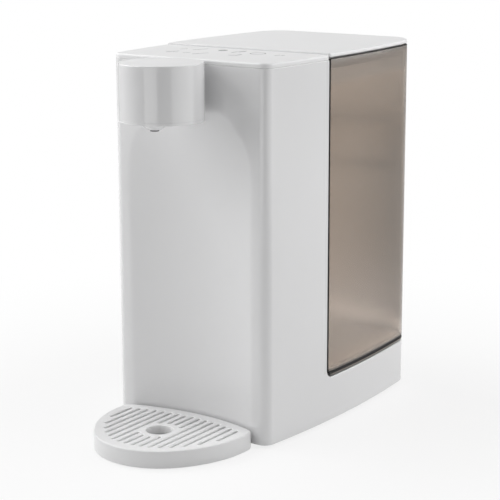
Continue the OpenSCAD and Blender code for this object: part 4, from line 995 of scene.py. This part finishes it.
class DISPENSER_OT_tray(bpy.types.Operator):
    """Slotted cap and the pan under it"""

    bl_idname = "dispenser.tray"
    bl_label = "Drip tray"

    def execute(self, context):
        size, body, nozzle, tints = groups_on(context.scene, "tray", "body", "nozzle", "colours")
        plan, cap = TrayPlan(size, body), Skin()
        x = (np.arange(-8, 8) + 0.5) * size.pitch
        rim = size.rim - size.rim_slim * (2 * x / size.width) ** 2
        front, rear = plan.slot_front(x, rim), plan.slot_rear(x, size.rim)
        split = np.abs(x) < size.ring
        bow = np.sqrt(np.maximum(size.ring ** 2 - x ** 2, 0))
        ends = np.concatenate([np.stack([x, front, rear], 1)[~split],
                               np.stack([x, front, nozzle.spout - bow], 1)[split],
                               np.stack([x, nozzle.spout + bow, rear], 1)[split]])

        def slot_rings(grow):
            """Outlines of all the slots, widened by grow."""
            r = size.slot / 2
            return [capsule((sx, y0 + r), (sx, y1 - r), size.slot + 2 * grow, 10) for sx, y0, y1 in ends]

        def outside(grow, rim):
            """Test of whether points lie in a slot widened by grow or in the drain hole widened by rim."""
            def test(p):
                near = np.clip(p[:, 1:], ends[:, 1] + size.slot / 2, ends[:, 2] - size.slot / 2)
                gap = np.hypot(p[:, :1] - ends[:, 0], p[:, 1:] - near)
                drain = np.hypot(p[:, 0], p[:, 1] - nozzle.spout)
                return (gap < size.slot / 2 + grow).any(1) | (drain < size.drain + rim)
            return test

        def drain_ring(grow):
            return arc(0, nozzle.spout, size.drain + grow, 0, 2 * math.pi, 64)[:-1]

        def ring(inset, z):
            return lifted(plan.ring(inset), z)

        floor = size.top - size.wall
        rows = [ring(i, size.top - d) for i, d in quarter(size.edge, 6)[::-1]]
        rows += [ring(i, size.low + d) for i, d in quarter(0.5 * MM, 3)]
        rows += [ring(size.wall, size.low), ring(size.wall, floor)]
        cap.grid(np.stack(rows), closed=True, turn=True)
        e, collar, draft = size.slot_edge, size.collar, size.draft
        cap.plate([plan.ring(size.edge), drain_ring(e), *slot_rings(e)], size.top, outside(e, e))
        cap.plate([plan.ring(size.wall), drain_ring(collar), *slot_rings(-draft)], floor, outside(-draft, collar),
                  turn=True)
        steps = [(i, size.top - d) for i, d in quarter(e, 3)[::-1]]
        rims = [(slot_rings(i), z) for i, z in steps + [(-draft, floor)]]
        # painted light: the slot walls and the drain well take the paler second finish, so their shade reads lighter
        for k in range(len(ends)):
            cap.grid(np.stack([lifted(rings[k], z) for rings, z in rims]), closed=True, paint=1)
        low, c = size.collar_low, 0.2 * MM
        well = steps + [(0, low + c), (c, low), (collar - c, low), (collar, low + c), (collar, floor)]
        cap.grid(np.stack([lifted(drain_ring(i), z) for i, z in well]), closed=True, paint=1)
        for side in (-1, 1):
            x = side * size.stop + np.linspace(-5, 5, 7) * MM
            arcs = [np.stack([x, plan.hollow_y + np.sqrt((plan.hollow - gap) ** 2 - x ** 2)], 1)
                    for gap in (size.gap + 0.2 * MM, 0.3 * MM)]
            block = np.concatenate([arcs[0], arcs[1][::-1]])
            cap.solid([lifted(block, z) for z in (2.4 * MM, 8 * MM)])
        # painted light: the second finish is the paler pan white on walls of the same cap, lightening the shade in
        # the slots and the drain well
        paints = [moulded("tray_white", tints.tray, 0.34, 0.000005, gloss=0.6),
                  moulded("slot_painted_light", tints.pan, 0.34, 0.000005, gloss=0.6)]
        cap.build("tray_cap", "grille", "grille", paints, ["drip_grille"])

        pan, outer, wall, high, c = Skin(), size.pan_inset, size.pan_wall, size.pan_top, 0.3 * MM
        inner, fillet = outer + wall, 1.2 * MM
        rows = [ring(inner + fillet, wall)]
        rows += [ring(inner + i, wall + d) for i, d in quarter(fillet, 4)[::-1]]
        rows += [ring(inner, high - c), ring(inner - c, high), ring(outer + c, high), ring(outer, high - c)]
        rows += [ring(outer + i, d) for i, d in quarter(MM, 4)]
        pan.solid(rows, turn=True)
        pan.build("tray_pan", "tray", "inner_plastic",
                  [moulded("pan_white", tints.pan, 0.45, 0.000006)], ["drip_tray"])
        return {"FINISHED"}


class DISPENSER_OT_fittings(bpy.types.Operator):
    """Finishes of the pieces that keep the shape of their solids"""

    bl_idname = "dispenser.fittings"
    bl_label = "Fittings"

    def execute(self, context):
        tints = context.scene.dispenser_colours
        finishes = {
            moulded("panel_grey", tints.inner, 0.46, 0.000008): ["column_back", "base_plate", "nozzle_clamp"],
            moulded("valve_dark", tints.dark, 0.42, 0.000006): [
                "tank_dock", "tank_valve", "heater_caps", "pump_head", "thermal_cutout"],
            moulded("strainer_white", tints.cover, 0.42, 0.000006): ["tank_strainer", "valve_plunger", "pump_rotor"],
            rubbery("rubber_black", tints.rubber): [
                "feet", "cord_gland", "dock_seal", "valve_washer", "valve_seal", "pump_cradle"],
            silicone("hose_silicone", tints.hose): ["inlet_hose", "feed_hose", "outlet_hose", "lid_gasket"],
            metallic("bright_steel", tints.steel, 0.24, (900.0, 900.0, 90.0)): [
                "heater_brackets", "hose_clips", "base_screws", "panel_screws", "board_screws", "valve_spring",
                "pump_motor"],
            metallic("cast_block", tints.cast, 0.46, (300.0, 300.0, 300.0)): ["heater"],
            metallic("sensor_brass", tints.brass, 0.3, (700.0, 700.0, 100.0)): ["temp_sensor"],
            lacquered("board_green", tints.board): ["main_board", "touch_board"],
            silicone("light_bar", tints.hose): ["light_guide"],
            moulded("ribbon_grey", tints.inner, 0.5, 0.00001): ["ribbon_cable"],
        }
        for paint, names in finishes.items():
            for name in names:
                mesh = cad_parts[name].data
                mesh.materials.clear()
                mesh.materials.append(paint)
        return {"FINISHED"}


class DISPENSER_OT_stage(bpy.types.Operator):
    """Floor, white surroundings, light panels and camera"""

    bl_idname = "dispenser.stage"
    bl_label = "Stage"

    def execute(self, context):
        scene, size = context.scene, context.scene.dispenser_stage
        floor = Skin()
        floor.grid(turned([(r, -0.2 * MM) for r in (1.6, 0.9, 0.4, 0)], 0, 0, 96), closed=True)
        paint = Paint(bpy.data.materials.new("floor_white"), "ShaderNodeBsdfDiffuse", "ShaderNodeOutputMaterial")
        paint.set(Color=(0.8, 0.8, 0.8))
        seen = paint.rays("Camera", "Glossy", "Transmission")
        glow = paint.node("ShaderNodeEmission", None, {"Color": (1, 1, 1), "Strength": size.glow})
        plain = Term(paint, paint.shader.outputs[0])
        reach = paint.node("ShaderNodeVectorMath", {"operation": "LENGTH"}, {0: paint.place()}, out=1)
        away = paint.ramp(reach, 0.16, 0.5, 0.8, 1.0)
        pale = paint.node("ShaderNodeMixShader", None, {0: away, 1: plain, 2: glow})
        paint.show(paint.node("ShaderNodeMixShader", None, {0: seen, 1: plain, 2: pale}))
        mesh = bpy.data.meshes.new("floor")
        mesh.from_pydata(np.concatenate(floor.points).tolist(), [], floor.faces)
        mesh.materials.append(paint.owner)
        ground = bpy.data.objects.new("floor", mesh)
        scene.collection.objects.link(ground)

        world = bpy.data.worlds.new("surroundings")
        scene.world = world
        sky = Paint(world, "ShaderNodeBackground", "ShaderNodeOutputWorld")
        seen, gloss = sky.rays("Camera", "Transmission"), sky.rays("Glossy")
        sky.set(Color=(1, 1, 1),
                Strength=size.ambient + (1 - size.ambient) * seen + (size.mirror - size.ambient) * gloss)

        centre = -0.02
        panels = (("left", size.left, -62, 0.85, 0.66, 1.3, 0.85), ("front", size.front, 8, 0.90, 0.135, 0.5, 0.25),
                  ("right", size.right, 132, 0.85, 0.66, 1.0, 0.85), ("low", size.low, 93, 0.90, 0.135, 1.15, 0.25),
                  ("above_left", size.above_left, -90, 0.60, 1.10, 0.6, 0.6),
                  ("above_right", size.above_right, 90, 0.60, 1.10, 0.6, 0.6))
        for name, power, turn, away, height, wide, high in panels:
            turn = math.radians(turn)
            place = Vector((away * math.sin(turn), centre - away * math.cos(turn), height))
            aim = Vector((0, centre, min(height, 0.2)))
            lamp = bpy.data.lights.new("panel_" + name, "AREA")
            lamp.shape, lamp.size, lamp.size_y, lamp.energy = "RECTANGLE", wide, high, power
            panel = bpy.data.objects.new("panel_" + name, lamp)
            scene.collection.objects.link(panel)
            panel.location = place
            panel.rotation_euler = (aim - place).to_track_quat("-Z", "Y").to_euler()
            panel.visible_camera = False

        data = bpy.data.cameras.new("camera")
        data.sensor_width, data.lens, data.clip_start = 36.0, size.lens, 0.05
        camera = bpy.data.objects.new("camera", data)
        scene.collection.objects.link(camera)
        a, e = size.azimuth, size.elevation
        back = Vector((math.sin(a) * math.cos(e), -math.cos(a) * math.cos(e), math.sin(e)))
        right = Vector((0, 0, 1)).cross(back).normalized()
        up = back.cross(right)
        x = math.cos(size.roll) * right + math.sin(size.roll) * up
        y = math.cos(size.roll) * up - math.sin(size.roll) * right
        camera.matrix_world = Matrix.Translation(size.place) @ Matrix((x, y, back)).transposed().to_4x4()
        scene.camera = camera
        scene.view_settings.view_transform = "Standard"
        return {"FINISHED"}


class DISPENSER_PT_panel(bpy.types.Panel):
    """Buttons that build each piece"""

    bl_idname = "DISPENSER_PT_panel"
    bl_label = "Hot Water Dispenser"
    bl_space_type = "VIEW_3D"
    bl_region_type = "UI"
    bl_category = "Dispenser"

    def draw(self, context):
        for operator in operators:
            self.layout.operator(operator.bl_idname)


groups = {"dispenser_body": DispenserBody, "dispenser_nozzle": DispenserNozzle, "dispenser_tank": DispenserTank,
          "dispenser_tray": DispenserTray, "dispenser_colours": DispenserColours, "dispenser_stage": DispenserStage}
operators = (DISPENSER_OT_housing, DISPENSER_OT_cover, DISPENSER_OT_nozzle, DISPENSER_OT_tank, DISPENSER_OT_lid,
             DISPENSER_OT_tray, DISPENSER_OT_fittings, DISPENSER_OT_stage)


def register():
    """Adds the classes and the settings on the scene."""
    for cls in (*groups.values(), *operators, DISPENSER_PT_panel):
        bpy.utils.register_class(cls)
    for name, cls in groups.items():
        setattr(bpy.types.Scene, name, PointerProperty(type=cls))


def unregister():
    """Takes the settings and the classes away again."""
    for name in groups:
        delattr(bpy.types.Scene, name)
    for cls in (DISPENSER_PT_panel, *reversed(operators), *reversed(groups.values())):
        bpy.utils.unregister_class(cls)


def main():
    """Builds every piece in order."""
    register()
    for operator in operators:
        group, name = operator.bl_idname.split(".")
        getattr(getattr(bpy.ops, group), name)()


if __name__ == "__main__":
    main()
